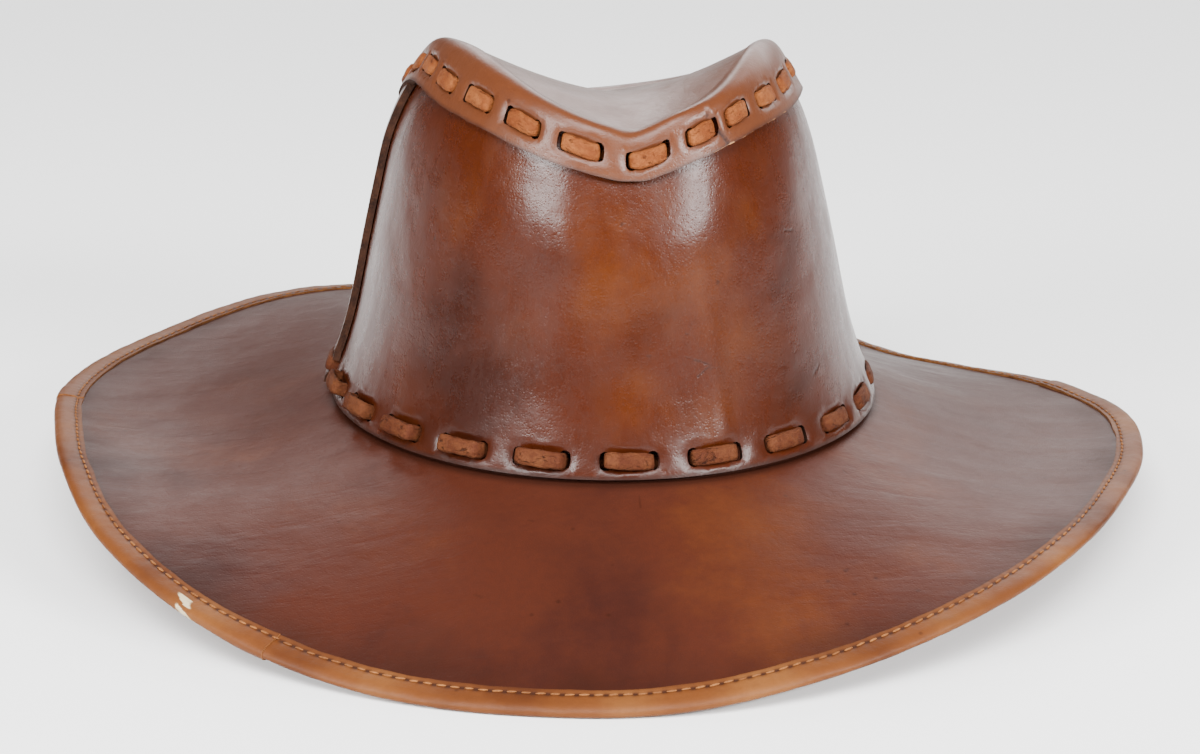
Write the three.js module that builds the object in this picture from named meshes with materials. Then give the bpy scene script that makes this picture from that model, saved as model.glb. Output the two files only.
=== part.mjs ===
// A wide-brimmed leather hat standing on its own brim, in millimetres, +Z up, front towards -Y.
// A "turn" is an angle in degrees round the hat: 0 at the front, 90 at +X, 180 at the back.
// An "out" is a distance square to the crown's outer face, away from the head.
import * as THREE from 'three';

// Thicknesses and clearances
const HIDE = 2.4;                        // leather of the crown and the brim
const GAP = 0.3;                         // clearance between pieces that touch
const LAP_RISE = HIDE + 0.4;             // how far the crown wall's outer end stands over its inner end
const BINDING = { thick: 1.2, wide: 9 };
const LACE = { wide: 5.4, thick: 1.8 };

// Lacing: both laces have the same number of stitches, and the top ones stand between the base ones
const STITCHES = 22;
const FIRST_STITCH = -4.3;               // turn of the base stitch nearest the front
const STITCH_REACH = 0.195;              // half of a stitch between its slots, as a share of the pitch
const SLOT_REACH = 0.305;                // far edge of a slot, as a share of the pitch
const SLOT_HALF_TALL = 3.8;
const TOP_SLOT_SPREAD = 1.3;             // turn that a top slot takes up, over that of a base slot
const BASE_LACE_RISE = 6.5;              // middle of the base lace above the brim
const LACE_CLEAR = { outside: 0.45, base_inside: 0.6, top_inside: 0.9 };
const LACE_BEND = 0.6;                   // size of the corner where a lace turns into a slot
const BACK_STITCH = 10;                  // both laces start and end inside at this stitch
const LACE_END = 0.42;                   // how far an end runs on inside, as a share of the slots' spacing

// Crown and brim joint
const COLLAR_TALL = 17;                  // the brim's turned-up collar inside the crown
const CORNER = 1.2;                      // inner radius of the bend between the brim and its collar
const WALL_LIFT = 0.9;                   // bottom edge of the crown wall above the brim
const WALL_TOP = { above_lace: 5.2, below_crest: HIDE + 1.0 };
const WALL_STEPS = [0.2, 0.6];           // levels of the wall between its two rows of slots
const SKIRT = { below_lace: 6.7, above_lace: 4.6 };   // the straight part of the tip's turned-down edge
const CREST_INSET = 1.2;                 // the crest of the tip's fold stands this far inside the skirt
const TIP_RINGS = [0.9, 0.66, 0.33];     // rings of the tip between its crest and its middle
const BASE_HEIGHT = { middle: 33.5, swing: 3.5 };

// Outer face of the crown wall, an oval at each height. Its middle is a little towards +X.
const CROWN_SHIFT = 1.0;
const CROWN = [
  { z: 28, side: 89.4, front: 106.5, back: 106.5 },
  { z: 37, side: 87.6, front: 105.0, back: 105.0 },
  { z: 48, side: 83.2, front: 101.5, back: 102.0 },
  { z: 62, side: 78.9, front: 98.0, back: 99.0 },
  { z: 82, side: 74.5, front: 94.0, back: 95.0 },
  { z: 102, side: 70.0, front: 90.5, back: 90.5 },
  { z: 118, side: 66.2, front: 87.0, back: 86.5 },
  { z: 130, side: 62.0, front: 84.0, back: 83.5 },
  { z: 140, side: 56.2, front: 81.5, back: 80.5 },
  { z: 150, side: 50.6, front: 79.0, back: 78.0 },
  { z: 158, side: 46.2, front: 76.5, back: 76.0 },
];

// Rim of the tip: the height of the middle of its lace and of its crest. It has two humps at the
// sides, a notch at the front and a low back.
const RIM = [
  { turn: -180, lace: 104.8, crest: 112.4 },
  { turn: -150, lace: 109.9, crest: 117.6 },
  { turn: -120, lace: 124.8, crest: 132.8 },
  { turn: -100, lace: 136.8, crest: 145.0 },
  { turn: -88, lace: 142.2, crest: 150.6 },
  { turn: -76, lace: 143.4, crest: 153.4 },
  { turn: -66, lace: 142.6, crest: 154.0 },
  { turn: -52, lace: 141.8, crest: 151.8 },
  { turn: -38, lace: 139.2, crest: 147.8 },
  { turn: -22, lace: 134.6, crest: 142.9 },
  { turn: -9, lace: 131.0, crest: 138.8 },
  { turn: -3, lace: 128.9, crest: 136.9 },
  { turn: 3, lace: 130.3, crest: 139.2 },
  { turn: 10, lace: 133.6, crest: 142.4 },
  { turn: 22, lace: 137.4, crest: 145.4 },
  { turn: 32, lace: 140.2, crest: 148.4 },
  { turn: 46, lace: 141.2, crest: 152.6 },
  { turn: 60, lace: 141.2, crest: 154.3 },
  { turn: 72, lace: 141.0, crest: 152.8 },
  { turn: 86, lace: 138.5, crest: 148.5 },
  { turn: 100, lace: 133.5, crest: 142.5 },
  { turn: 120, lace: 123.0, crest: 132.0 },
  { turn: 150, lace: 110.0, crest: 118.0 },
];

// How far the top stitches stand round the hat from the places that even spacing gives them
const TOP_STITCH_SHIFT = [
  { turn: -180, shift: -3.0 },
  { turn: -130, shift: -1.0 },
  { turn: -95, shift: 0.0 },
  { turn: -78, shift: -2.4 },
  { turn: -62, shift: -4.4 },
  { turn: -45, shift: -3.6 },
  { turn: -13, shift: -3.6 },
  { turn: 5, shift: -2.8 },
  { turn: 22, shift: -4.6 },
  { turn: 39, shift: -9.8 },
  { turn: 56, shift: -10.6 },
  { turn: 72, shift: -10.2 },
  { turn: 110, shift: -8.0 },
  { turn: 150, shift: -5.0 },
];

// Valley down the middle of the tip, from the front notch to the back
const VALLEY = [
  { y: -90, x: 0, z: 134.5 },
  { y: -72, x: 0.5, z: 137.2 },
  { y: -50, x: 3, z: 139.0 },
  { y: -24, x: 5, z: 136.8 },
  { y: 10, x: 5, z: 128.8 },
  { y: 45, x: 3, z: 119.8 },
  { y: 80, x: 0, z: 112.6 },
  { y: 95, x: 0, z: 110.0 },
];
const VALLEY_POWER = 1.6;                // how the tip rises from the valley to the humps
const PINCH = { deep: 3.2, half_turn: 15, top: 138, bottom: 92 };

// Outline of the bound brim: reach in plan, height of its underside, and how far it bows down
const OUTLINE = [
  { turn: -180, reach: 193.0, height: 0.0, sag: -2 },
  { turn: -165, reach: 194.5, height: 8.5, sag: 0 },
  { turn: -150, reach: 195.0, height: 14.5, sag: 2 },
  { turn: -130, reach: 190.5, height: 18.0, sag: 4 },
  { turn: -110, reach: 183.0, height: 24.0, sag: 6 },
  { turn: -90, reach: 176.0, height: 28.0, sag: 7 },
  { turn: -75, reach: 178.5, height: 28.0, sag: 6 },
  { turn: -60, reach: 185.0, height: 21.0, sag: 3 },
  { turn: -45, reach: 188.0, height: 10.0, sag: 0 },
  { turn: -31, reach: 188.8, height: 0.0, sag: -2 },
  { turn: -18, reach: 190.0, height: 0.0, sag: -2 },
  { turn: -2, reach: 190.8, height: 0.0, sag: -2 },
  { turn: 12, reach: 189.4, height: 6.8, sag: -1 },
  { turn: 30, reach: 186.0, height: 15.6, sag: 1 },
  { turn: 45, reach: 180.0, height: 19.0, sag: 3 },
  { turn: 60, reach: 175.5, height: 19.0, sag: 5 },
  { turn: 75, reach: 176.5, height: 16.5, sag: 6 },
  { turn: 90, reach: 179.0, height: 14.0, sag: 6 },
  { turn: 105, reach: 175.5, height: 7.0, sag: 4 },
  { turn: 120, reach: 171.0, height: 0.8, sag: 1 },
  { turn: 132, reach: 171.5, height: 0.0, sag: 0 },
  { turn: 150, reach: 181.5, height: 0.0, sag: -1 },
  { turn: 168, reach: 190.5, height: 0.0, sag: -2 },
];
const FLAT_MARGIN = BINDING.wide;        // width of the edge that lies flat where the brim rests
const FLAT_FADE = 22.5;                  // the flat margin has faded out this far from the edge
const RESTING_BELOW = 3;                 // the edge flattens where its underside is lower than this
const BRIM_STEPS = [0.72, 0.46, 0.2];    // rings of the brim between its edge and the crown
const BRIM_POWER = 1.15;                 // how the brim falls away from the crown

// Places along the columns
const CELLS = 4 * STITCHES;              // slot, stitch, slot and underpass for each stitch
const SEAM_STITCH = 16;                  // base stitch that lies over the wall's two ends
const SEAM_TURN = { ramp_from: 150, ramp_to: 252, skirt_back_to: 304 };
const WALL_LAP = 2;                      // columns by which the wall's ends lap
const SKIRT_LAP = { turn: 23, half_step: 3, rise: 1.1, fade: 34 };
const BINDING_JOINTS = { left: 260, front: 322, right: 105 };   // turns where a strip's end shows
const JOINT_STEP = BINDING.thick + GAP;
const EDGE_ROUND = 0.8;                  // how much fuller the binding is at its rounded edge
const NEARBY = 0.5;                      // step in turn or height for finding a direction

const COLOURS = { crown: 0x7d3413, tip: 0x7a3415, brim: 0x5c2617, binding: 0xa25f2e, lace: 0xa9622f };

const radians = (degrees) => degrees * Math.PI / 180;
const blend = (a, b, t) => a + (b - a) * t;
const smooth = (from, to, x) => THREE.MathUtils.smoothstep(x, from, to);

// A smooth curve through one column of a table, round and round if period is given
function curve(rows, key, column, period = 0) {
  const first = rows[0];
  const last = rows[rows.length - 1];
  const round = period
    ? [{ ...last, [key]: last[key] - period }, ...rows, { ...first, [key]: first[key] + period },
      { ...rows[1], [key]: rows[1][key] + period }]
    : [first, ...rows, last];
  const slope = (i) => {
    const run = round[i + 1][key] - round[i - 1][key];
    return run === 0 ? 0 : (round[i + 1][column] - round[i - 1][column]) / run;
  };
  return (at) => {
    const x = period ? THREE.MathUtils.euclideanModulo(at - first[key], period) + first[key] : at;
    let i = 1;
    while (i < round.length - 3 && x > round[i + 1][key]) i += 1;
    const run = round[i + 1][key] - round[i][key];
    const t = THREE.MathUtils.clamp((x - round[i][key]) / run, 0, 1);
    const [a, b] = [round[i][column], round[i + 1][column]];
    const [p, q] = [slope(i) * run, slope(i + 1) * run];
    return a + t * (p + t * (3 * (b - a) - 2 * p - q + t * (2 * (a - b) + p + q)));
  };
}

const crownSide = curve(CROWN, 'z', 'side');
const crownFront = curve(CROWN, 'z', 'front');
const crownBack = curve(CROWN, 'z', 'back');
const topLaceHeight = curve(RIM, 'turn', 'lace', 360);
const crestHeight = curve(RIM, 'turn', 'crest', 360);
const topStitchShift = curve(TOP_STITCH_SHIFT, 'turn', 'shift', 360);
const valleyHeight = curve(VALLEY, 'y', 'z');
const valleyMiddle = curve(VALLEY, 'y', 'x');
const brimReach = curve(OUTLINE, 'turn', 'reach', 360);
const brimSag = curve(OUTLINE, 'turn', 'sag', 360);
const outlineHeight = curve(OUTLINE, 'turn', 'height', 360);
const brimHeight = (turn) => Math.max(0, outlineHeight(turn));
const baseHeight = (turn) => BASE_HEIGHT.middle + BASE_HEIGHT.swing * Math.cos(radians(turn));

// The turn that is nearest to 0, from -180 to 180
const centred = (turn) => THREE.MathUtils.euclideanModulo(turn + 180, 360) - 180;

// The crown's outer face, and the direction square to it
function crownFace(turn, z) {
  const t = radians(turn);
  const away = centred(turn) / PINCH.half_turn;
  const dent = PINCH.deep * Math.exp(-away * away) * smooth(PINCH.bottom, PINCH.top, z);
  const long = Math.cos(t) > 0 ? crownFront(z) - dent : crownBack(z);
  return new THREE.Vector3(CROWN_SHIFT + crownSide(z) * Math.sin(t), -long * Math.cos(t), z);
}

function crownFrame(turn, z) {
  const along = crownFace(turn + NEARBY, z).sub(crownFace(turn - NEARBY, z)).normalize();
  const up = crownFace(turn, z + NEARBY).sub(crownFace(turn, z - NEARBY)).normalize();
  return { along, up, square: along.clone().cross(up).normalize() };
}

const crownPoint = (turn, z, out) => crownFace(turn, z).addScaledVector(crownFrame(turn, z).square, out);

// Arc length round the base oval, so that the stitches are evenly spaced
const STEPS_ROUND = 720;
const arcLength = [0];
for (let i = 0; i < STEPS_ROUND; i += 1) {
  const here = crownFace(i * 360 / STEPS_ROUND, BASE_HEIGHT.middle);
  const next = crownFace((i + 1) * 360 / STEPS_ROUND, BASE_HEIGHT.middle);
  arcLength.push(arcLength[i] + here.distanceTo(next));
}

function shareAt(turn) {
  const at = turn * STEPS_ROUND / 360;
  const i = Math.floor(at);
  return blend(arcLength[i], arcLength[i + 1], at - i) / arcLength[STEPS_ROUND];
}

function turnAt(share) {
  const laps = Math.floor(share);
  const target = (share - laps) * arcLength[STEPS_ROUND];
  let i = 0;
  while (arcLength[i + 1] < target) i += 1;
  const part = (target - arcLength[i]) / (arcLength[i + 1] - arcLength[i]);
  return 360 * (laps + (i + part) / STEPS_ROUND);
}

// Columns: the edges of each stitch's slots. A coarse column is the middle of a slot.
const CELL_EDGES = [-SLOT_REACH, -STITCH_REACH, STITCH_REACH, SLOT_REACH];
const firstShare = shareAt(FIRST_STITCH + 360) - 1;

function columnTurn(column) {
  const stitch = Math.floor(column / 4);
  return turnAt(firstShare + (stitch + CELL_EDGES[column - 4 * stitch]) / STITCHES);
}

// A lean goes from 0 at the base lace's even spacing to 1 at the top lace's. The top slots take up
// more of the turn, because the crown is narrower there.
function coarseTurn(pair, lean = 0) {
  const even = (columnTurn(2 * pair) + columnTurn(2 * pair + 1)) / 2;
  return even + lean * topStitchShift(even);
}

function leaningTurn(column, lean) {
  const pair = Math.floor(column / 2);
  const fromMiddle = columnTurn(column) - coarseTurn(pair);
  return coarseTurn(pair, lean) + fromMiddle * blend(1, TOP_SLOT_SPREAD, lean);
}

const isSlot = (column) => THREE.MathUtils.euclideanModulo(column, 2) === 0;

// How far the crown wall and the tip's skirt stand out, so that one end of the wall laps the other
const SEAM_COLUMN = 4 * SEAM_STITCH + 3;
const WALL_COLUMNS = { first: SEAM_COLUMN - CELLS - WALL_LAP, last: SEAM_COLUMN };
const wallOut = (turn) => LAP_RISE * smooth(SEAM_TURN.ramp_from, SEAM_TURN.ramp_to, turn);

function skirtOut(turn) {
  const round = THREE.MathUtils.euclideanModulo(turn, 360);
  const past = smooth(columnTurn(SEAM_COLUMN), SEAM_TURN.skirt_back_to, round);
  const afterLap = centred(turn) - SKIRT_LAP.turn;
  const step = smooth(-SKIRT_LAP.half_step, SKIRT_LAP.half_step, afterLap);
  const lap = step * (1 - smooth(0, SKIRT_LAP.fade, afterLap));
  return wallOut(round) * (1 - past) + SKIRT_LAP.rise * lap;
}

// A sheet of leather as one closed solid. A row gives its outer and inner face at a turn; a coarse
// row has one point for each slot, and a row that is a pole has one point in all. A crossed row's
// cells are split along their other diagonal, so that a face lies flat against its neighbour's.
function sheet(name, rows, columns, colour, isHole = () => false) {
  const positions = [];
  const triangles = [];
  const known = new Map();
  const wraps = columns.last - columns.first === CELLS;
  const vertex = (side, row, column) => {
    const { coarse, pole, lean = 0 } = rows[row];
    let place = coarse ? Math.floor(column / 2) : column;
    if (wraps) place = THREE.MathUtils.euclideanModulo(place, coarse ? CELLS / 2 : CELLS);
    if (pole) place = 0;
    const key = `${side} ${row} ${place}`;
    if (!known.has(key)) {
      const point = rows[row][side](coarse ? coarseTurn(place, lean) : leaningTurn(place, lean));
      known.set(key, positions.length / 3);
      positions.push(point.x, point.y, point.z);
    }
    return known.get(key);
  };
  const quad = (a, b, c, d) => {
    if (a !== b && b !== c && c !== a) triangles.push(a, b, c);
    if (a !== c && c !== d && d !== a) triangles.push(a, c, d);
  };
  const isSolid = (row, column) => {
    const inside = row >= 0 && row < rows.length - 1;
    const across = wraps || (column >= columns.first && column < columns.last);
    return inside && across && !isHole(row, column);
  };
  for (let row = 0; row < rows.length - 1; row += 1) {
    for (let column = columns.first; column < columns.last; column += 1) {
      if (!isSolid(row, column)) continue;
      const corners = [[row, column], [row, column + 1], [row + 1, column + 1], [row + 1, column]];
      const outer = corners.map(([r, c]) => vertex('outer', r, c));
      const inner = corners.map(([r, c]) => vertex('inner', r, c));
      const [a, b, c, d] = rows[row].crossed ? [1, 2, 3, 0] : [0, 1, 2, 3];
      quad(outer[a], outer[b], outer[c], outer[d]);
      quad(inner[a], inner[d], inner[c], inner[b]);
      const beyond = [[row - 1, column], [row, column + 1], [row + 1, column], [row, column - 1]];
      beyond.forEach(([r, c], edge) => {
        const next = (edge + 1) % 4;
        if (!isSolid(r, c) && outer[edge] !== outer[next]) {
          quad(outer[next], outer[edge], inner[edge], inner[next]);
        }
      });
    }
  }
  return mesh(name, positions, triangles, colour);
}

function mesh(name, positions, triangles, colour) {
  const geometry = new THREE.BufferGeometry();
  geometry.setAttribute('position', new THREE.Float32BufferAttribute(positions, 3));
  geometry.setIndex(triangles);
  geometry.computeVertexNormals();
  const leather = new THREE.MeshStandardMaterial({ color: colour, roughness: 0.4, metalness: 0 });
  const piece = new THREE.Mesh(geometry, leather);
  piece.name = name;
  return piece;
}

// Crown wall: one sheet wrapped round the head, its outer end over its inner end at the left
const baseLaceHeight = (turn) => baseHeight(turn) + BASE_LACE_RISE;

function wallRow({ height: heightAt, lean }) {
  return {
    lean,
    outer: (turn) => crownPoint(turn, heightAt(turn), wallOut(turn)),
    inner: (turn) => crownPoint(turn, heightAt(turn), wallOut(turn) - HIDE),
  };
}

function crownWall() {
  const top = (turn) => Math.min(topLaceHeight(turn) + WALL_TOP.above_lace,
    crestHeight(turn) - WALL_TOP.below_crest);
  const lowSlot = (turn) => baseLaceHeight(turn) + SLOT_HALF_TALL;
  const highSlot = (turn) => topLaceHeight(turn) - SLOT_HALF_TALL;
  const levels = [
    { height: (turn) => baseHeight(turn) + WALL_LIFT, lean: 0 },
    { height: (turn) => baseLaceHeight(turn) - SLOT_HALF_TALL, lean: 0 },
    { height: lowSlot, lean: 0 },
    ...WALL_STEPS.map((share) => {
      return { height: (turn) => blend(lowSlot(turn), highSlot(turn), share), lean: share };
    }),
    { height: (turn) => topLaceHeight(turn) - SKIRT.below_lace, lean: 1 },
    { height: highSlot, lean: 1 },
    { height: (turn) => topLaceHeight(turn) + SLOT_HALF_TALL, lean: 1 },
    { height: top, lean: 1 },
  ];
  const slotRows = [1, 6];
  const isHole = (row, column) => slotRows.includes(row) && isSlot(column);
  return sheet('crown_wall', levels.map(wallRow), WALL_COLUMNS, COLOURS.crown, isHole);
}

// Tip: the saddle-shaped top of the crown, folded down all round into a skirt outside the wall
const skirtFace = (turn) => skirtOut(turn) + GAP + HIDE;

function skirtRow(aboveLace) {
  return {
    outer: (turn) => crownPoint(turn, topLaceHeight(turn) + aboveLace, skirtFace(turn)),
    inner: (turn) => crownPoint(turn, topLaceHeight(turn) + aboveLace, skirtFace(turn) - HIDE),
    lean: 1,
  };
}

// The middle of the bend from the skirt over to the crest
function shoulderRow() {
  const bulge = Math.SQRT1_2;
  const at = (depth) => (turn) => {
    const height = blend(topLaceHeight(turn) + SKIRT.above_lace, crestHeight(turn), bulge);
    const out = skirtFace(turn) - CREST_INSET * (1 - bulge);
    return crownPoint(turn, height - depth * bulge, out - depth * bulge);
  };
  return { outer: at(0), inner: at(HIDE), lean: 1 };
}

const crestPoint = (turn) => crownPoint(turn, crestHeight(turn), skirtFace(turn) - CREST_INSET);

// Top face of the tip at a point inside its crest, where share runs from 0 at the middle to 1 there
function tipFace(turn, share) {
  const rim = crestPoint(turn);
  const y = rim.y * share;
  const x = CROWN_SHIFT + (rim.x - CROWN_SHIFT) * share;
  const rimLong = Math.abs(crestPoint(y < 0 ? 0 : 180).y);
  const rimTurn = THREE.MathUtils.radToDeg(Math.acos(THREE.MathUtils.clamp(-y / rimLong, -1, 1)));
  const beside = crestPoint(x < valleyMiddle(y) ? -rimTurn : rimTurn);
  const across = (x - valleyMiddle(y)) / (beside.x - valleyMiddle(y));
  const rise = THREE.MathUtils.clamp(across, 0, 1) ** VALLEY_POWER;
  return new THREE.Vector3(x, y, blend(valleyHeight(y), beside.z, rise));
}

function tipRow(share) {
  const under = (turn) => {
    const point = tipFace(turn, share);
    const step = 0.02;
    const inward = tipFace(turn, share - step).sub(tipFace(turn, share + step));
    const along = tipFace(turn + 1, share).sub(tipFace(turn - 1, share));
    return point.addScaledVector(along.cross(inward).normalize(), -HIDE);
  };
  return { outer: (turn) => tipFace(turn, share), inner: under, coarse: true, lean: 1 };
}

function crownTip() {
  const middle = tipFace(0, 0);
  const rows = [
    skirtRow(-SKIRT.below_lace),
    skirtRow(-SLOT_HALF_TALL),
    skirtRow(SLOT_HALF_TALL),
    skirtRow(SKIRT.above_lace),
    shoulderRow(),
    {
      outer: (turn) => crestPoint(turn),
      inner: (turn) => crestPoint(turn).add(new THREE.Vector3(0, 0, -HIDE)),
      coarse: true,
      lean: 1,
    },
    ...TIP_RINGS.map(tipRow),
    { outer: () => middle.clone(), inner: () => middle.clone().setZ(middle.z - HIDE), pole: true },
  ];
  const isHole = (row, column) => row === 1 && isSlot(column);
  return sheet('crown_tip', rows, { first: 0, last: CELLS }, COLOURS.tip, isHole);
}

// Brim: one sheet from its edge in to the crown and up into a collar inside the crown wall
const COLLAR_OUT = -HIDE - GAP;

function brimTop(turn, share) {
  const inner = crownPoint(turn, baseHeight(turn), COLLAR_OUT + CORNER);
  const t = radians(turn);
  const reach = brimReach(turn) - BINDING.thick - GAP;
  const edge = new THREE.Vector3(reach * Math.sin(t), -reach * Math.cos(t), 0);
  const edgeTop = brimHeight(turn) + BINDING.thick + GAP + HIDE;
  const point = inner.clone().lerp(edge, share);
  const bow = brimSag(turn) * Math.sin(Math.PI * share);
  point.z = blend(edgeTop, inner.z, (1 - share) ** BRIM_POWER) - bow;
  const fromEdge = inner.setZ(0).distanceTo(edge) * (1 - share);
  const resting = 1 - smooth(0, RESTING_BELOW, brimHeight(turn));
  point.z = blend(point.z, edgeTop, resting * (1 - smooth(FLAT_MARGIN, FLAT_FADE, fromEdge)));
  return point;
}

// Direction outwards along the brim between two rings, and the one square to it
function brimFrame(turn, fromShare, toShare) {
  const along = brimTop(turn, toShare).sub(brimTop(turn, fromShare)).normalize();
  const level = new THREE.Vector3(along.x, along.y, 0).normalize();
  const rise = along.z;
  const run = Math.hypot(along.x, along.y);
  return { along, square: level.multiplyScalar(-rise).setZ(run).normalize() };
}

function marginShare(turn) {
  const inner = crownPoint(turn, baseHeight(turn), COLLAR_OUT + CORNER).setZ(0);
  const edge = brimTop(turn, 1).setZ(0);
  return 1 - FLAT_MARGIN / inner.distanceTo(edge);
}

function brimRow(shareAtTurn, frameShares) {
  const outer = (turn) => brimTop(turn, shareAtTurn(turn));
  const inner = (turn) => {
    const [from, to] = frameShares(turn);
    return outer(turn).addScaledVector(brimFrame(turn, from, to).square, -HIDE);
  };
  return { outer, inner, coarse: true };
}

// The bend and the collar, as a drop below the crown wall's face and a rise above the brim
function collarRow(out, rise, innerOut, innerRise) {
  return {
    outer: (turn) => crownPoint(turn, baseHeight(turn) + rise, out),
    inner: (turn) => crownPoint(turn, baseHeight(turn) + innerRise, innerOut),
  };
}

function brim() {
  const marginFrame = (turn) => [marginShare(turn), 1];
  const halfDiagonal = Math.SQRT1_2;
  const beside = 0.05;
  const bendOut = COLLAR_OUT + CORNER;
  const wide = CORNER + HIDE;
  const rows = [
    brimRow(() => 1, marginFrame),
    brimRow(marginShare, marginFrame),
    ...BRIM_STEPS.map((share) => brimRow(() => share, () => [share - beside, share + beside])),
    collarRow(bendOut, 0, bendOut, -HIDE),
    collarRow(bendOut - CORNER * halfDiagonal, CORNER * (1 - halfDiagonal),
      bendOut - wide * halfDiagonal, CORNER - wide * halfDiagonal),
    collarRow(COLLAR_OUT, CORNER, COLLAR_OUT - HIDE, CORNER),
    ...[BASE_LACE_RISE - SLOT_HALF_TALL, BASE_LACE_RISE + SLOT_HALF_TALL, COLLAR_TALL].map(
      (rise) => collarRow(COLLAR_OUT, rise, COLLAR_OUT - HIDE, rise)),
  ];
  const slotRow = rows.length - 3;
  const isHole = (row, column) => row === slotRow && isSlot(column);
  return sheet('brim', rows, { first: 0, last: CELLS }, COLOURS.brim, isHole);
}

// Binding: three strips folded over the brim's edge, each end lapping the next strip's start
const UNDER = -HIDE - GAP;
const BINDING_SECTION = [
  { outer: { past: -BINDING.wide, up: UNDER - BINDING.thick }, inner: { past: -BINDING.wide, up: UNDER } },
  { outer: { past: GAP, up: UNDER - BINDING.thick }, inner: { past: 0, up: UNDER } },
  { outer: { past: GAP + BINDING.thick, up: -HIDE - EDGE_ROUND / 2 }, inner: { past: GAP, up: -HIDE } },
  { outer: { past: GAP + BINDING.thick, up: EDGE_ROUND / 2 }, inner: { past: GAP, up: 0 } },
  { outer: { past: GAP, up: GAP + BINDING.thick }, inner: { past: 0, up: GAP } },
  { outer: { past: -BINDING.wide, up: GAP + BINDING.thick }, inner: { past: -BINDING.wide, up: GAP } },
];

function bindingPoint(turn, corner, lift) {
  const frame = brimFrame(turn, marginShare(turn), 1);
  const hideMiddle = -HIDE / 2;
  const past = corner.past < 0 ? corner.past : corner.past + lift;
  const up = corner.up + Math.sign(corner.up - hideMiddle) * lift;
  return brimTop(turn, 1).addScaledVector(frame.along, past).addScaledVector(frame.square, up);
}

function bindingStrip(name, fromTurn, toTurn) {
  const pairs = { first: nearestPair(fromTurn) - 1, last: nearestPair(toTurn) };
  const liftFrom = coarseTurn(pairs.last - 2);
  const liftTo = coarseTurn(pairs.last - 1);
  const place = (corner) => (turn) => {
    const share = THREE.MathUtils.clamp((turn - liftFrom) / (liftTo - liftFrom), 0, 1);
    return bindingPoint(turn, corner, JOINT_STEP * share);
  };
  const rows = BINDING_SECTION.map(({ outer, inner }, row) => {
    return { outer: place(outer), inner: place(inner), coarse: true, crossed: row < 2 };
  });
  return sheet(name, rows, { first: 2 * pairs.first, last: 2 * pairs.last }, COLOURS.binding);
}

// The coarse column nearest a turn
function nearestPair(turn) {
  let best = -CELLS / 2;
  for (let pair = best; pair < CELLS; pair += 1) {
    if (Math.abs(coarseTurn(pair) - turn) < Math.abs(coarseTurn(best) - turn)) best = pair;
  }
  return best;
}

// A lace: a flat ribbon in and out through the slots, its two ends inside at the back
function lace(name, heightAt, outsideAt, inside, firstSlot, lean) {
  const sections = [];
  const half = LACE.thick / 2;
  const routeAt = (turn) => crownFace(turn, heightAt(turn));
  const section = (turn, along, out, mitre) => {
    const frame = crownFrame(turn, heightAt(turn));
    const ahead = routeAt(turn + NEARBY).sub(routeAt(turn - NEARBY)).normalize();
    const middle = routeAt(turn).addScaledVector(ahead, along).addScaledVector(frame.square, out);
    const thick = ahead.multiplyScalar(mitre[0]).addScaledVector(frame.square, mitre[1]);
    return [[1, 1], [1, -1], [-1, -1], [-1, 1]].map(([side, up]) => middle.clone()
      .addScaledVector(thick, side * half)
      .addScaledVector(frame.up, up * LACE.wide / 2));
  };
  const pass = (turn, from, to) => {
    const way = Math.sign(to - from);
    const corner = Math.tan(Math.PI / 8);
    const bends = [
      { along: -LACE_BEND, out: from, mitre: [-corner * way, 1] },
      { along: 0, out: from + way * LACE_BEND, mitre: [-way, corner] },
      { along: 0, out: to - way * LACE_BEND, mitre: [-way, corner] },
      { along: LACE_BEND, out: to, mitre: [-corner * way, 1] },
    ];
    bends.forEach(({ along, out, mitre }) => sections.push(section(turn, along, out, mitre)));
  };
  const slotTurn = (slot) => coarseTurn(slot / 2, lean);
  const lastSlot = firstSlot + CELLS - 2;
  const startTurn = blend(slotTurn(firstSlot), slotTurn(firstSlot - 2), LACE_END);
  sections.push(section(startTurn, 0, inside, [0, 1]));
  for (let slot = firstSlot; slot <= lastSlot; slot += 2) {
    const outside = outsideAt(slotTurn(slot)) + LACE_CLEAR.outside + half;
    const goesOut = (slot - firstSlot) % 4 === 0;
    pass(slotTurn(slot), goesOut ? inside : outside, goesOut ? outside : inside);
  }
  const endTurn = blend(slotTurn(lastSlot), slotTurn(lastSlot + 2), LACE_END);
  sections.push(section(endTurn, 0, inside, [0, 1]));
  return ribbon(name, sections, COLOURS.lace);
}

function ribbon(name, sections, colour) {
  const positions = sections.flat().flatMap((point) => point.toArray());
  const triangles = [];
  for (let i = 0; i < sections.length - 1; i += 1) {
    for (let side = 0; side < 4; side += 1) {
      const a = 4 * i + side;
      const b = 4 * i + (side + 1) % 4;
      triangles.push(a, b, b + 4, a, b + 4, a + 4);
    }
  }
  const end = positions.length / 3 - 4;
  triangles.push(0, 2, 1, 0, 3, 2, end, end + 1, end + 2, end, end + 2, end + 3);
  return mesh(name, positions, triangles, colour);
}

const baseFirstSlot = 4 * BACK_STITCH;
const topFirstSlot = 4 * BACK_STITCH + 2;
const halfLace = LACE.thick / 2;
const laceBaseInside = COLLAR_OUT - HIDE - LACE_CLEAR.base_inside - halfLace;
const laceTopInside = -HIDE - LACE_CLEAR.top_inside - halfLace;

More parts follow.
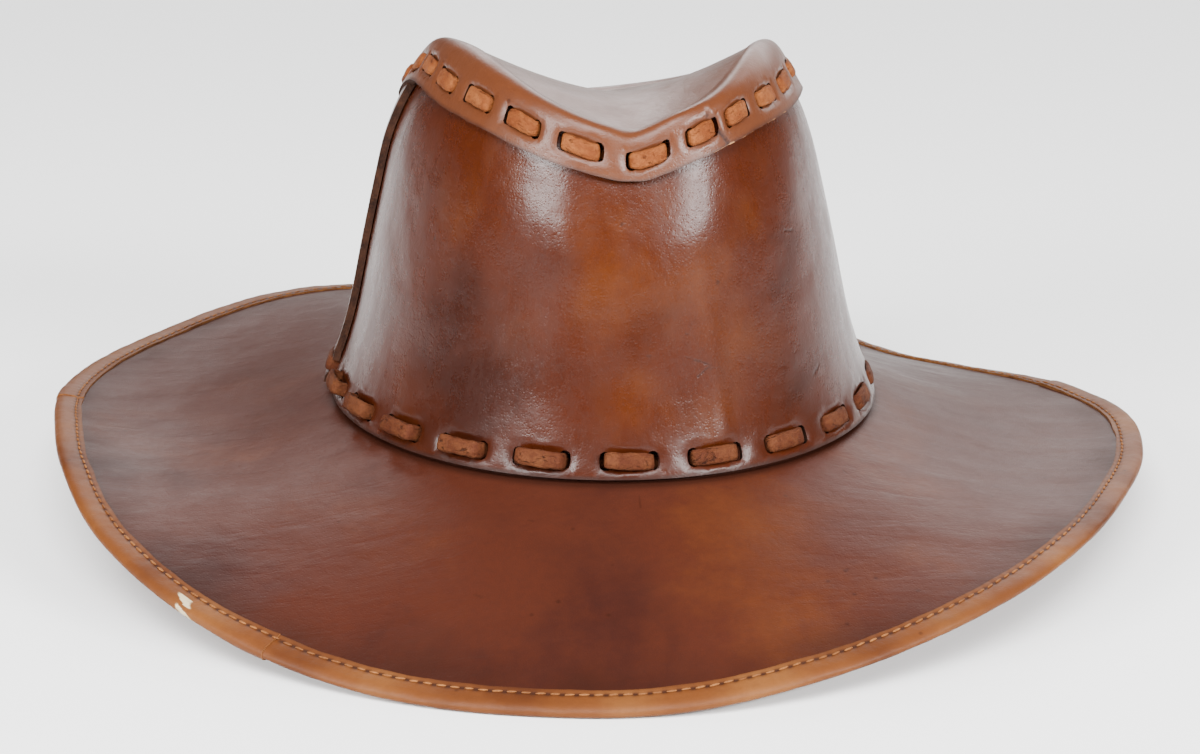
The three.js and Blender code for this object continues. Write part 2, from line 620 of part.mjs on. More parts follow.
const hat = new THREE.Group();
hat.add(
  brim(),
  crownWall(),
  crownTip(),
  lace('lace_base', baseLaceHeight, (turn) => wallOut(THREE.MathUtils.euclideanModulo(turn, 360)),
    laceBaseInside, baseFirstSlot, 0),
  lace('lace_top', topLaceHeight, skirtFace, laceTopInside, topFirstSlot, 1),
  bindingStrip('binding_left', BINDING_JOINTS.left - 360, BINDING_JOINTS.front - 360),
  bindingStrip('binding_front', BINDING_JOINTS.front - 360, BINDING_JOINTS.right),
  bindingStrip('binding_back', BINDING_JOINTS.right, BINDING_JOINTS.left),
);

// The origin is on the surface that the hat stands on, under the middle of its outline
const bounds = new THREE.Box3().setFromObject(hat);
const centre = bounds.getCenter(new THREE.Vector3());
hat.position.set(-centre.x, -centre.y, -bounds.min.z);

export default hat;
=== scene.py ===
"""A wide-brimmed leather hat with a laced crown and a bound brim, standing on its own brim.

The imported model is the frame. Each leather piece is modelled again here as a finer sheet on the
same forms. Sizes are in millimetres, and a mesh is written in metres. A "turn" is an angle in
degrees round the hat: 0 at the front, 90 at +X, 180 at the back. An "out" is a distance square to
the crown's outer face, away from the head. A "column" counts cells round the hat: a slot, a
stitch, a slot and an underpass, over and over.
"""
import bisect
import functools
import itertools
import logging
import math
import random
from dataclasses import dataclass
from enum import Enum
from typing import Any, Callable, NamedTuple, Sequence

import bmesh
import bpy
from mathutils import Matrix, Vector, noise


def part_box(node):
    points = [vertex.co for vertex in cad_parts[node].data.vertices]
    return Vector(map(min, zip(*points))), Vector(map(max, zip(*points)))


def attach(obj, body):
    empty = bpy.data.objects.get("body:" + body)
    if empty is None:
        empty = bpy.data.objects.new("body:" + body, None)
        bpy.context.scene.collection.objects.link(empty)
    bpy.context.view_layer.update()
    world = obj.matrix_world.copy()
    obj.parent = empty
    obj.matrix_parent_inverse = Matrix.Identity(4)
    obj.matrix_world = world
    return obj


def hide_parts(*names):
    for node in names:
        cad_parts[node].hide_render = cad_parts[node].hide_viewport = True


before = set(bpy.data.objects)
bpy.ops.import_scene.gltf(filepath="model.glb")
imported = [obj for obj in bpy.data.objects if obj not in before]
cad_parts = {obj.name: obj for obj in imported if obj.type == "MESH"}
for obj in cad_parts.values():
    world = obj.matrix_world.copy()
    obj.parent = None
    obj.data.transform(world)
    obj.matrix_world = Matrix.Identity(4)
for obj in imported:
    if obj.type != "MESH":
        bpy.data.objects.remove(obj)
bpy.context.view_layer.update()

MM = 0.001
WELD = 1e-6              # corners closer than this, in metres, become one
LOG = logging.getLogger("hat")


# Small sums

def blend(a: float, b: float, t: float) -> float:
    """Return the value that is a share t of the way from a to b."""
    return a + (b - a) * t


def clamp(value: float, low: float = 0.0, high: float = 1.0) -> float:
    """Return the value held between low and high."""
    return min(max(value, low), high)


def smooth(low: float, high: float, value: float) -> float:
    """Return a soft step from 0 at low to 1 at high."""
    t = clamp((value - low) / (high - low))
    return t * t * (3 - 2 * t)


def bell(value: float, wide: float) -> float:
    """Return a round hump that is 1 at 0 and has nearly gone at twice wide."""
    return math.exp(-(value / wide) ** 2)


def centred(turn: float) -> float:
    """Return the same turn between -180 and 180."""
    return (turn + 180) % 360 - 180


def between(levels: Sequence[float], row: float) -> float:
    """Return the height of a row, where the whole rows stand at the levels."""
    band = min(int(row), len(levels) - 2)
    return blend(levels[band], levels[band + 1], row - band)


def lengths_along(points: Sequence[Vector]) -> list[float]:
    """Return the length of a line before each of its points."""
    steps = ((there - here).length for here, there in itertools.pairwise(points))
    return [0.0, *itertools.accumulate(steps)]


def new_mesh(bm: bmesh.types.BMesh, name: str) -> bpy.types.Mesh:
    """Turn a bmesh, which is freed, into a mesh.

    Args:
        bm: The bmesh.
        name: The mesh's name.

    Returns:
        The mesh.
    """
    mesh = bpy.data.meshes.new(name)
    bm.to_mesh(mesh)
    bm.free()
    return mesh


def new_object(name: str, data: bpy.types.ID) -> bpy.types.Object:
    """Put a new object in the scene.

    Args:
        name: The object's name.
        data: Its mesh, lamp or camera.

    Returns:
        The object.
    """
    thing = bpy.data.objects.new(name, data)
    bpy.context.scene.collection.objects.link(thing)
    return thing


class Curve:
    """A smooth curve through one column of a table, round and round where it has a period."""

    def __init__(self, rows: Sequence[Any], key: str, column: str, period: float = 0.0) -> None:
        """Read the table and work out the slope at each row.

        Args:
            rows: The table's rows, in the rising order of their key.
            key: Name of the column that the curve runs along.
            column: Name of the column that it passes through.
            period: Length after which the curve repeats, or 0 where it doesn't.
        """
        keys = [getattr(row, key) for row in rows]
        values = [getattr(row, column) for row in rows]
        self.first, self.period = keys[0], period
        if period:
            self.keys = [keys[-1] - period, *keys, keys[0] + period, keys[1] + period]
            self.values = [values[-1], *values, values[0], values[1]]
        else:
            self.keys = [keys[0], *keys, keys[-1]]
            self.values = [values[0], *values, values[-1]]
        self.slopes = [0.0]
        for i in range(1, len(self.keys) - 1):
            run = self.keys[i + 1] - self.keys[i - 1]
            self.slopes.append((self.values[i + 1] - self.values[i - 1]) / run if run else 0.0)

    def __call__(self, at: float) -> float:
        """Return the curve's value at a place along its key.

        Args:
            at: The place, in the key's own unit.

        Returns:
            The value there.
        """
        x = (at - self.first) % self.period + self.first if self.period else at
        i = bisect.bisect_left(self.keys, x, 2, len(self.keys) - 2) - 1
        run = self.keys[i + 1] - self.keys[i]
        t = clamp((x - self.keys[i]) / run)
        a, b = self.values[i], self.values[i + 1]
        p, q = self.slopes[i] * run, self.slopes[i + 1] * run
        return a + t * (p + t * (3 * (b - a) - 2 * p - q + t * (2 * (a - b) + p + q)))


# The hat's driving tables, as in the CAD

class CrownLevel(NamedTuple):
    """The crown's outer face at one height: half its width, and its reach to front and back."""

    z: float
    side: float
    front: float
    back: float


class RimPoint(NamedTuple):
    """The tip's rim at one turn: height of the middle of its lace, and of its crest."""

    turn: float
    lace: float
    crest: float


class StitchShift(NamedTuple):
    """How far the top stitches stand round the hat from even spacing."""

    turn: float
    shift: float


class ValleyPoint(NamedTuple):
    """The bottom of the valley down the tip."""

    y: float
    x: float
    z: float


class OutlinePoint(NamedTuple):
    """The bound brim's edge: reach in plan, height of its underside, and how far it bows down."""

    turn: float
    reach: float
    height: float
    sag: float


CROWN = [CrownLevel(*row) for row in (
    (28, 89.4, 106.5, 106.5), (37, 87.6, 105.0, 105.0), (48, 83.2, 101.5, 102.0),
    (62, 78.9, 98.0, 99.0), (82, 74.5, 94.0, 95.0), (102, 70.0, 90.5, 90.5),
    (118, 66.2, 87.0, 86.5), (130, 62.0, 84.0, 83.5), (140, 56.2, 81.5, 80.5),
    (150, 50.6, 79.0, 78.0), (158, 46.2, 76.5, 76.0),
)]
RIM = [RimPoint(*row) for row in (
    (-180, 104.8, 112.4), (-150, 109.9, 117.6), (-120, 124.8, 132.8), (-100, 136.8, 145.0),
    (-88, 142.2, 150.6), (-76, 143.4, 153.4), (-66, 142.6, 154.0), (-52, 141.8, 151.8),
    (-38, 139.2, 147.8), (-22, 134.6, 142.9), (-9, 131.0, 138.8), (-3, 128.9, 136.9),
    (3, 130.3, 139.2), (10, 133.6, 142.4), (22, 137.4, 145.4), (32, 140.2, 148.4),
    (46, 141.2, 152.6), (60, 141.2, 154.3), (72, 141.0, 152.8), (86, 138.5, 148.5),
    (100, 133.5, 142.5), (120, 123.0, 132.0), (150, 110.0, 118.0),
)]
TOP_STITCH_SHIFT = [StitchShift(*row) for row in (
    (-180, -3.0), (-130, -1.0), (-95, 0.0), (-78, -2.4), (-62, -4.4), (-45, -3.6), (-13, -3.6),
    (5, -2.8), (22, -4.6), (39, -9.8), (56, -10.6), (72, -10.2), (110, -8.0), (150, -5.0),
)]
VALLEY = [ValleyPoint(*row) for row in (
    (-90, 0.0, 134.5), (-72, 0.5, 137.2), (-50, 3.0, 139.0), (-24, 5.0, 136.8),
    (10, 5.0, 128.8), (45, 3.0, 119.8), (80, 0.0, 112.6), (95, 0.0, 110.0),
)]
OUTLINE = [OutlinePoint(*row) for row in (
    (-180, 193.0, 0.0, -2), (-165, 194.5, 13.0, 0), (-150, 195.0, 18.2, 2),
    (-130, 190.5, 17.5, 4), (-110, 183.0, 22.0, 6), (-90, 176.0, 28.0, 7),
    (-75, 178.5, 28.0, 6), (-60, 185.0, 21.0, 3), (-45, 188.0, 10.5, 0),
    (-31, 188.8, 2.6, -2), (-18, 190.0, 0.0, -2), (-2, 190.8, 1.0, -2),
    (12, 189.4, 6.9, -1), (30, 186.0, 15.6, 1), (45, 180.0, 19.0, 3),
    (60, 175.5, 19.0, 5), (75, 176.5, 16.5, 6), (90, 179.0, 14.0, 6),
    (105, 175.5, 9.6, 4), (120, 171.0, 3.8, 1), (132, 171.5, 1.2, 0),
    (150, 181.5, 4.2, -1), (168, 190.5, 0.0, -2),
)]


class Lace(Enum):
    """The hat's two laces, by the column of the middle of one of its stitches."""

    BASE = 1.5
    TOP = 3.5


class CrownFrame(NamedTuple):
    """Directions on the crown: round the hat, up its face, and square to it."""

    along: Vector
    up: Vector
    square: Vector


@dataclass(eq=False)
class HatForm:
    """The forms that every piece of the hat follows."""

    hide: float = 2.4
    gap: float = 0.3
    lap_rise: float = 2.8
    crown_shift: float = 1.0
    stitches: int = 22
    first_stitch: float = -4.3
    stitch_reach: float = 0.195
    slot_reach: float = 0.305
    slot_half_tall: float = 3.8
    top_slot_spread: float = 1.3
    base_lace_rise: float = 6.5
    base_middle: float = 33.5
    base_swing: float = 3.5
    pinch_deep: float = 3.2
    pinch_half_turn: float = 15.0
    pinch_bottom: float = 92.0
    pinch_top: float = 138.0
    side_deep: float = 1.9
    side_press: float = 1.8
    side_turn: float = -103.0
    side_half_turn: float = 24.0
    side_from: float = 112.0
    side_to: float = 140.0
    side_press_half_turn: float = 26.0
    valley_power: float = 1.6
    crest_inset: float = 1.2
    crest_above: float = 9.0
    skirt_below_lace: float = 6.7
    skirt_above_lace: float = 4.6
    seam_column: int = 67
    seam_ramp_from: float = 150.0
    seam_ramp_to: float = 252.0
    skirt_back_to: float = 304.0
    skirt_lap_turn: float = 23.0
    skirt_lap_rise: float = 0.9
    skirt_lap_lean: float = 0.42
    skirt_lap_fade: float = 34.0
    skirt_lap_full: float = 4.0
    corner: float = 1.2
    binding_thick: float = 1.2
    binding_wide: float = 6.9
    edge_drop: float = 1.15
    brim_power: float = 1.15
    floor_soft: float = 0.4
    floor_sink: float = 0.31
    steps_round: int = 720

    def __post_init__(self) -> None:
        """Make the curves, the arc lengths and the shift from the drawing to the frame."""
        self.side = Curve(CROWN, "z", "side")
        self.front = Curve(CROWN, "z", "front")
        self.back = Curve(CROWN, "z", "back")
        self.lace_top = Curve(RIM, "turn", "lace", 360)
        self.crest = Curve(RIM, "turn", "crest", 360)
        self.shift = Curve(TOP_STITCH_SHIFT, "turn", "shift", 360)
        self.valley_z = Curve(VALLEY, "y", "z")
        self.valley_x = Curve(VALLEY, "y", "x")
        self.reach = Curve(OUTLINE, "turn", "reach", 360)
        self.edge_height = Curve(OUTLINE, "turn", "height", 360)
        self.sag = Curve(OUTLINE, "turn", "sag", 360)
        self.cells = 4 * self.stitches
        self.collar_out = -self.hide - self.gap
        turns = [i * (360 / self.steps_round) for i in range(self.steps_round + 1)]
        self.arc = lengths_along([self.crown_face(turn, self.base_middle) for turn in turns])
        self.first_share = self.share_at(self.first_stitch + 360) - 1
        self.to_frame = self.drawing_shift()

    def drawing_shift(self) -> Vector:
        """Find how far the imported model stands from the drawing.

        Returns:
            The shift in millimetres, from the brim's box in the frame.
        """
        low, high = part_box("brim")
        edge = [self.brim_top(self.coarse_turn(pair), 1.0) for pair in range(self.cells // 2)]
        middle = [(min(p[k] for p in edge) + max(p[k] for p in edge)) / 2 for k in (0, 1)]
        return Vector([(low[k] + high[k]) / 2 / MM - middle[k] for k in (0, 1)] + [0.0])

    def place(self, point: Vector) -> Vector:
        """Return a point of the drawing as a point of the frame, in metres."""
        return (point + self.to_frame) * MM

    def on_crown(self, turn: float, z: float) -> Vector:
        """Return the place of a mark on the crown's face, in metres."""
        return self.place(self.crown_point(turn, z, 0.0))

    def on_brim(self, turn: float, share: float) -> Vector:
        """Return the place of a mark on the brim's upper face, in metres."""
        return self.place(self.brim_top(turn, share))

    # The crown's face

    def crown_face(self, turn: float, z: float) -> Vector:
        """Return the point of the crown's outer face at a turn and a height.

        Args:
            turn: The turn.
            z: The height.

        Returns:
            The point.
        """
        t = math.radians(turn)
        dent = self.pinch_deep * bell(centred(turn), self.pinch_half_turn)
        dent *= smooth(self.pinch_bottom, self.pinch_top, z)
        long = self.front(z) - dent if math.cos(t) > 0 else self.back(z)
        hollow = self.side_deep * bell(centred(turn - self.side_turn), self.side_half_turn)
        side = self.side(z) - hollow * smooth(self.side_from, self.side_to, z)
        return Vector((self.crown_shift + side * math.sin(t), -long * math.cos(t), z))

    def crown_frame(self, turn: float, z: float) -> CrownFrame:
        """Return the directions on the crown's face at a turn and a height.

        Args:
            turn: The turn.
            z: The height.

        Returns:
            The directions, each of length 1.
        """
        near = 0.5
        along = (self.crown_face(turn + near, z) - self.crown_face(turn - near, z)).normalized()
        up = (self.crown_face(turn, z + near) - self.crown_face(turn, z - near)).normalized()
        return CrownFrame(along, up, along.cross(up).normalized())

    def crown_point(self, turn: float, z: float, out: float) -> Vector:
        """Return the point that stands out from the crown's face by a distance."""
        return self.crown_face(turn, z) + self.crown_frame(turn, z).square * out

    def base_height(self, turn: float) -> float:
        """Return the height of the brim's upper face where the crown begins."""
        return self.base_middle + self.base_swing * math.cos(math.radians(turn))

    def lace_height(self, lace: Lace, turn: float) -> float:
        """Return the height of the middle of a lace.

        Args:
            lace: Which lace.
            turn: The turn.

        Returns:
            The height.
        """
        if lace is Lace.TOP:
            return self.lace_top(turn)
        return self.base_height(turn) + self.base_lace_rise

    # Columns

    def share_at(self, turn: float) -> float:
        """Return the share of the base oval's length that lies before a turn.

        Args:
            turn: The turn, from 0 to 360.

        Returns:
            The share, from 0 to 1.
        """
        at = turn * self.steps_round / 360
        i = math.floor(at)
        return blend(self.arc[i], self.arc[i + 1], at - i) / self.arc[-1]

    def turn_at(self, share: float) -> float:
        """Return the turn before which a share of the base oval's length lies.

        Args:
            share: The share, past 1 on a second lap.

        Returns:
            The turn.
        """
        laps = math.floor(share)
        target = (share - laps) * self.arc[-1]
        i = max(bisect.bisect_left(self.arc, target) - 1, 0)
        part = (target - self.arc[i]) / (self.arc[i + 1] - self.arc[i])
        return 360 * (laps + (i + part) / self.steps_round)

    @functools.lru_cache(maxsize=None)
    def column_turn(self, column: int) -> float:
        """Return the turn of a whole column, evenly spaced.

        Args:
            column: The whole column.

        Returns:
            The turn.
        """
        edges = (-self.slot_reach, -self.stitch_reach, self.stitch_reach, self.slot_reach)
        stitch, edge = divmod(column, 4)
        return self.turn_at(self.first_share + (stitch + edges[edge]) / self.stitches)

    def coarse_turn(self, pair: int, lean: float = 0.0) -> float:
        """Return the turn of the middle of a slot, where lean goes from 0 to 1 up the crown."""
        even = (self.column_turn(2 * pair) + self.column_turn(2 * pair + 1)) / 2
        return even + lean * self.shift(even)

    @functools.lru_cache(maxsize=None)
    def leaning_turn(self, column: int, lean: float) -> float:
        """Return the turn of a whole column at a lean.

        Args:
            column: The whole column.
            lean: 0 at the crown's base, 1 at the top lace.

        Returns:
            The turn.
        """
        pair = column // 2
        from_middle = self.column_turn(column) - self.coarse_turn(pair)
        return self.coarse_turn(pair, lean) + from_middle * blend(1, self.top_slot_spread, lean)

    def turn_of(self, column: float, lean: float) -> float:
        """Return the turn of any column, whole or not.

        Args:
            column: The column.
            lean: 0 at the crown's base, 1 at the top lace.

        Returns:
            The turn.
        """
        whole = math.floor(column)
        before, after = self.leaning_turn(whole, lean), self.leaning_turn(whole + 1, lean)
        return blend(before, after, column - whole)

    # How far the wall and the skirt stand out

    def wall_out(self, turn: float) -> float:
        """Return how far the wall stands out at a turn that may lap past 360."""
        return self.lap_rise * smooth(self.seam_ramp_from, self.seam_ramp_to, turn)

    def past_lap(self, turn: float, above: float) -> float:
        """Return how far past the skirt's leaning lap a turn is, at a height above the lace."""
        return centred(turn) - self.skirt_lap_turn + self.skirt_lap_lean * (above + 3.0)

    def skirt_out(self, turn: float, above: float = 0.0) -> float:
        """Return how far the skirt's inner face stands out, but for the gap.

        Args:
            turn: The turn.
            above: Height above the middle of the lace.

        Returns:
            The distance.
        """
        round_turn = turn % 360
        past = smooth(self.column_turn(self.seam_column), self.skirt_back_to, round_turn)
        after = self.past_lap(turn, above)
        lap = (1 - smooth(0, self.skirt_lap_fade, after)) if after >= 0 else 0.0
        lap *= 1 - smooth(self.skirt_lap_full, self.crest_above, above)
        from_side = centred(turn - self.side_turn)
        pressed = self.side_press * bell(from_side, self.side_press_half_turn)
        return self.wall_out(round_turn) * (1 - past) + self.skirt_lap_rise * lap - pressed

    def skirt_face(self, turn: float, above: float = 0.0) -> float:
        """Return how far the skirt's outer face stands out."""
        return self.skirt_out(turn, above) + self.gap + self.hide

    def crest_point(self, turn: float) -> Vector:
        """Return the point on the crest of the tip's fold at a turn."""
        out = self.skirt_face(turn, self.crest_above) - self.crest_inset
        return self.crown_point(turn, self.crest(turn), out)

    @functools.cached_property
    def rims(self) -> dict[int, list[Vector]]:
        """Return the crest's points down each side of the hat, from the front to the back.

        Returns:
            The points, by -1 for the -X side and 1 for the +X side.
        """
        steps = 144
        return {
            side: [self.crest_point(side * 180 * i / steps) for i in range(steps + 1)]
            for side in (-1, 1)
        }

    def rim_beside(self, side: int, y: float) -> tuple[float, float]:
        """Find the crest beside a point of the tip.

        Args:
            side: -1 for the -X side, 1 for the +X side.
            y: How far along the hat.

        Returns:
            The crest's x and z at that y.
        """
        rim = self.rims[side]
        i = clamp(bisect.bisect_left([p.y for p in rim], y) - 1, 0, len(rim) - 2)
        a, b = rim[int(i)], rim[int(i) + 1]
        t = clamp((y - a.y) / (b.y - a.y))
        return blend(a.x, b.x, t), blend(a.z, b.z, t)

    def tip_face(self, turn: float, share: float) -> Vector:
        """Return a point of the tip's upper face.

        Args:
            turn: The turn of the crest point that the ray from the middle ends at.
            share: 0 at the middle of the tip, 1 at the crest.

        Returns:
            The point.
        """
        rim = self.crest_point(turn)
        x = self.crown_shift + (rim.x - self.crown_shift) * share
        y = rim.y * share
        middle = self.valley_x(y)
        beside_x, beside_z = self.rim_beside(-1 if x < middle else 1, y)
        across = clamp((x - middle) / (beside_x - middle)) if beside_x != middle else 1.0
        return Vector((x, y, blend(self.valley_z(y), beside_z, across ** self.valley_power)))

    # The brim

    def brim_inner(self, turn: float) -> Vector:
        """Return the point where the brim begins to bend up into its collar."""
        return self.crown_point(turn, self.base_height(turn), self.collar_out + self.corner)

    @functools.lru_cache(maxsize=None)
    def brim_ends(self, turn: float) -> tuple[Vector, Vector]:
        """Return the brim's inner point, and its edge at the height of its upper face.

        Args:
            turn: The turn.

        Returns:
            Both points.
        """
        t = math.radians(turn)
        reach = self.reach(turn) - self.binding_thick - self.gap
        top = self.edge_low(turn) + self.binding_thick + self.gap + self.hide - self.edge_drop
        return self.brim_inner(turn), Vector((reach * math.sin(t), -reach * math.cos(t), top))

    def edge_low(self, turn: float) -> float:
        """Return the height of the binding's underside."""
        height = self.edge_height(turn)
        rounded = (height + math.sqrt(height * height + self.floor_soft)) / 2
        return max(0.0, rounded - self.floor_sink)

    def brim_top(self, turn: float, share: float) -> Vector:
        """Return a point of the brim's upper face.

        Args:
            turn: The turn of its edge point.
            share: 0 at the crown, 1 at the edge.

        Returns:
            The point.
        """
        inner, edge = self.brim_ends(turn)
        point = inner.lerp(edge, share)
        bow = self.sag(turn) * math.sin(math.pi * share)
        point.z = blend(edge.z, inner.z, max(1 - share, 0.0) ** self.brim_power) - bow
        return point

    def margin_share(self, turn: float) -> float:
        """Return the share at which the binding's inner edge lies."""
        inner, edge = self.brim_ends(turn)
        return 1 - self.binding_wide / (inner.xy - edge.xy).length

    @functools.lru_cache(maxsize=None)
    def edge_frame(self, turn: float) -> tuple[Vector, Vector, Vector]:
        """Return the brim's edge point, the way outwards there, and the way square to it.

        Args:
            turn: The turn.

        Returns:
            The point and the two directions.
        """
        edge = self.brim_top(turn, 1.0)
        along = (edge - self.brim_top(turn, self.margin_share(turn))).normalized()
        level = along.xy.normalized()
        square = Vector((-level.x * along.z, -level.y * along.z, along.xy.length)).normalized()
        return edge, along, square


# How a stitch presses the leather

@dataclass(frozen=True)
class StitchPrint:
    """The mark that a lace's stitch leaves in the leather, in nominal millimetres."""

    half_stitch: float = 5.4
    slot: float = 3.05
    tall_share: float = 0.72
    sunk: float = 1.25
    lip: float = 0.05
    widen: float = 0.32
    rounding: float = 0.85
    hollow_long: float = 9.0
    hollow_tall: float = 2.72
    hollow_power: float = 3.5
    hollow_floor: float = 0.66
    hollow_rim: float = 1.36
    lip_at: float = 1.45
    lip_wide: float = 0.30
    lip_below: float = 1.35

    def along(self, column: float, lace: Lace) -> float:
        """Return the distance from the middle of the nearest stitch, with its sign.

        Args:
            column: The column.
            lace: Which lace.

        Returns:
            The distance, less than 0 before the middle.
        """
        cells = (column - lace.value + 2) % 4 - 2
        size = abs(cells)
        if size <= 0.5:
            far = size * 2 * self.half_stitch
        elif size <= 1.5:
            far = self.half_stitch + (size - 0.5) * self.slot
        else:
            far = self.half_stitch + self.slot + (size - 1.5) * 2 * self.half_stitch
        return math.copysign(far, cells)

    def column_shift(self, along: float, moved: float) -> float:
        """Return how many columns lie between two distances from a stitch's middle."""
        return self.columns_at(abs(moved)) - self.columns_at(abs(along))

    def columns_at(self, far: float) -> float:
        """Return how many columns a distance from a stitch's middle spans.

        Args:
            far: The distance.

        Returns:
            The number of columns.
        """
        if far <= self.half_stitch:
            return far / (2 * self.half_stitch)
        if far <= self.half_stitch + self.slot:
            return 0.5 + (far - self.half_stitch) / self.slot
        return 1.5 + (far - self.half_stitch - self.slot) / (2 * self.half_stitch)

    def warp(self, column: float, above: float, lace: Lace,
             half_tall: float) -> tuple[float, float]:
        """Move a point near a slot so that the slot is rounded, and longer at its outer end.

        Args:
            column: The point's column.
            above: Its height above the middle of the lace.
            lace: Which lace the slot is for.
            half_tall: Half of a slot's height.

        Returns:
            The moved column and height.
        """
        along = self.along(column, lace)
        p = (abs(along) - self.half_stitch - self.slot / 2) / (self.slot / 2)
        q = above / half_tall
        fade = (1 - smooth(1.0, 2.2, abs(p))) * (1 - smooth(1.0, 1.36, abs(q)))
        if fade <= 0:
            return column, above
        held_p, held_q = clamp(p, -1, 1), clamp(q, -1, 1)
        round_p = p * math.sqrt(1 - 0.5 * self.rounding * held_q ** 2)
        round_q = q * math.sqrt(1 - 0.5 * self.rounding * held_p ** 2)
        round_p += self.widen * (1 + held_p)
        p, q = blend(p, round_p, fade), blend(q, round_q * self.tall_share, fade)
        moved = self.half_stitch + self.slot / 2 * (1 + p)
        shift = math.copysign(self.column_shift(along, moved), along)
        return column + shift, q * half_tall

    def press(self, column: float, above: float, lace: Lace) -> float:
        """Return how far the leather stands out near a stitch: less than 0 where it is sunk.

        Args:
            column: The column.
            above: Height above the middle of the lace.
            lace: Which lace.

        Returns:
            The distance.
        """
        long = abs(self.along(column, lace)) / self.hollow_long
        tall = abs(above) / self.hollow_tall
        if long > 2 or tall > 3:
            return 0.0
        away = (long ** self.hollow_power + tall ** self.hollow_power) ** (1 / self.hollow_power)
        lip = bell(away - self.lip_at, self.lip_wide) * (1.0 if above > 0 else self.lip_below)
        return self.lip * lip - self.sunk * (1 - smooth(self.hollow_floor, self.hollow_rim, away))


# Sheets of leather

class Spot(NamedTuple):
    """A point of a sheet: its place, how much it is darkened (real dark edges and bands, and
    painted shade at joints, slits and stitch holes), and how worn.
    """

    at: Vector
    darkening_and_shade: float = 0.0
    wear: float = 0.0


@dataclass
class Sheet:
    """A sheet laid out as a grid of faces over a form, before it gets its thickness."""

    name: str
    form: HatForm
    columns: Sequence[float]
    rows: Sequence[float]
    spot: Callable[[float, float], Spot]
    is_hole: Callable[[float, float], bool] = lambda column, row: False
    closed: bool = False

    def build(self) -> bmesh.types.BMesh:
        """Lay the grid over the form.

        Returns:
            The sheet's outer face, pointing outwards.
        """
        across, up = len(self.columns) - 1, len(self.rows) - 1
        bm = bmesh.new()
        bmesh.ops.create_grid(bm, x_segments=across, y_segments=up, size=0.5)

        def cell(vert: bmesh.types.BMVert) -> tuple[float, float]:
            """Return the column and the row of a corner of the flat grid."""
            across_by = round((vert.co.x + 0.5) * across)
            up_by = round((vert.co.y + 0.5) * up)
            return self.columns[across_by], self.rows[up_by]

        holes = []
        for face in bm.faces:
            corners = [cell(vert) for vert in face.verts]
            middle = [sum(corner[k] for corner in corners) / 4 for k in (0, 1)]
            if self.is_hole(*middle):
                holes.append(face)
        bmesh.ops.delete(bm, geom=holes, context="FACES")
        surface = bm.loops.layers.uv.new("Surface")
        for face in bm.faces:
            for loop in face.loops:
                loop[surface].uv = (loop.vert.co.x + 0.5, loop.vert.co.y + 0.5)
        darkening_and_shade = bm.verts.layers.float.new("darkening_and_shade")
        wear = bm.verts.layers.float.new("wear")
        for vert in bm.verts:
            spot = self.spot(*cell(vert))
            vert.co = self.form.place(spot.at)
            vert[darkening_and_shade], vert[wear] = spot.darkening_and_shade, spot.wear
        if self.closed:
            bmesh.ops.remove_doubles(bm, verts=bm.verts, dist=WELD)
        return bm

    def piece(self, slot: str, node: str, thick: float, bevel: float = 0.35) -> "Piece":
        """Build the sheet and give it its thickness.

        Args:
            slot: A material slot's name, handed on to the piece.
            node: The CAD node that it replaces.
            thick: Thickness in millimetres.
            bevel: Width of the cut edges' rounding in millimetres.

        Returns:
            The piece, still to be dressed.
        """
        return Piece(self.build(), self.name, slot, [node]).thicken(thick, bevel)


class Piece:
    """Turns a bmesh into a finished piece of the hat."""

    def __init__(self, bm: bmesh.types.BMesh, name: str, slot: str,
                 nodes: Sequence[str] = ()) -> None:
        """Make the object and hide the CAD nodes that it replaces.

        Args:
            bm: The mesh, which is freed.
            name: The piece's name.
            slot: Not used.
            nodes: The CAD nodes that it replaces.
        """
        mesh = new_mesh(bm, name)
        mesh.shade_smooth()
        self.object = new_object(name, mesh)
        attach(self.object, "root")
        if nodes:
            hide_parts(*nodes)

    def thicken(self, thick: float, bevel: float) -> "Piece":
        """Give a sheet its thickness, inwards, and round its cut edges.

        Args:
            thick: Thickness in millimetres.
            bevel: Width of the rounding in millimetres.

        Returns:
            The piece itself.
        """
        wall = self.object.modifiers.new("Thickness", "SOLIDIFY")
        wall.thickness = thick * MM
        wall.offset = -1.0
        wall.use_even_offset = False
        wall.use_quality_normals = True
        wall.material_offset = 1
        wall.material_offset_rim = 2
        edges = self.object.modifiers.new("Cut edges", "BEVEL")
        edges.width = bevel * MM
        edges.segments = 2
        edges.limit_method = "ANGLE"
        edges.angle_limit = math.radians(50)
        edges.harden_normals = True
        edges.material = 2
        return self

    def dress(self, *materials: bpy.types.Material) -> "Piece":
        """Give the piece its materials: face, then flesh side and cut edge where it has them.

        Args:
            materials: One material for each of its sides.

        Returns:
            The piece itself.
        """
        for material in materials:
            self.object.data.materials.append(material)
        return self

    def report(self) -> bpy.types.Object:
        """Log the piece's size and return its object.

        Returns:
            The object.
        """
        faces = len(self.object.data.polygons)
        LOG.info("%s: %d faces before its modifiers", self.object.name, faces)
        return self.object


# Shader building

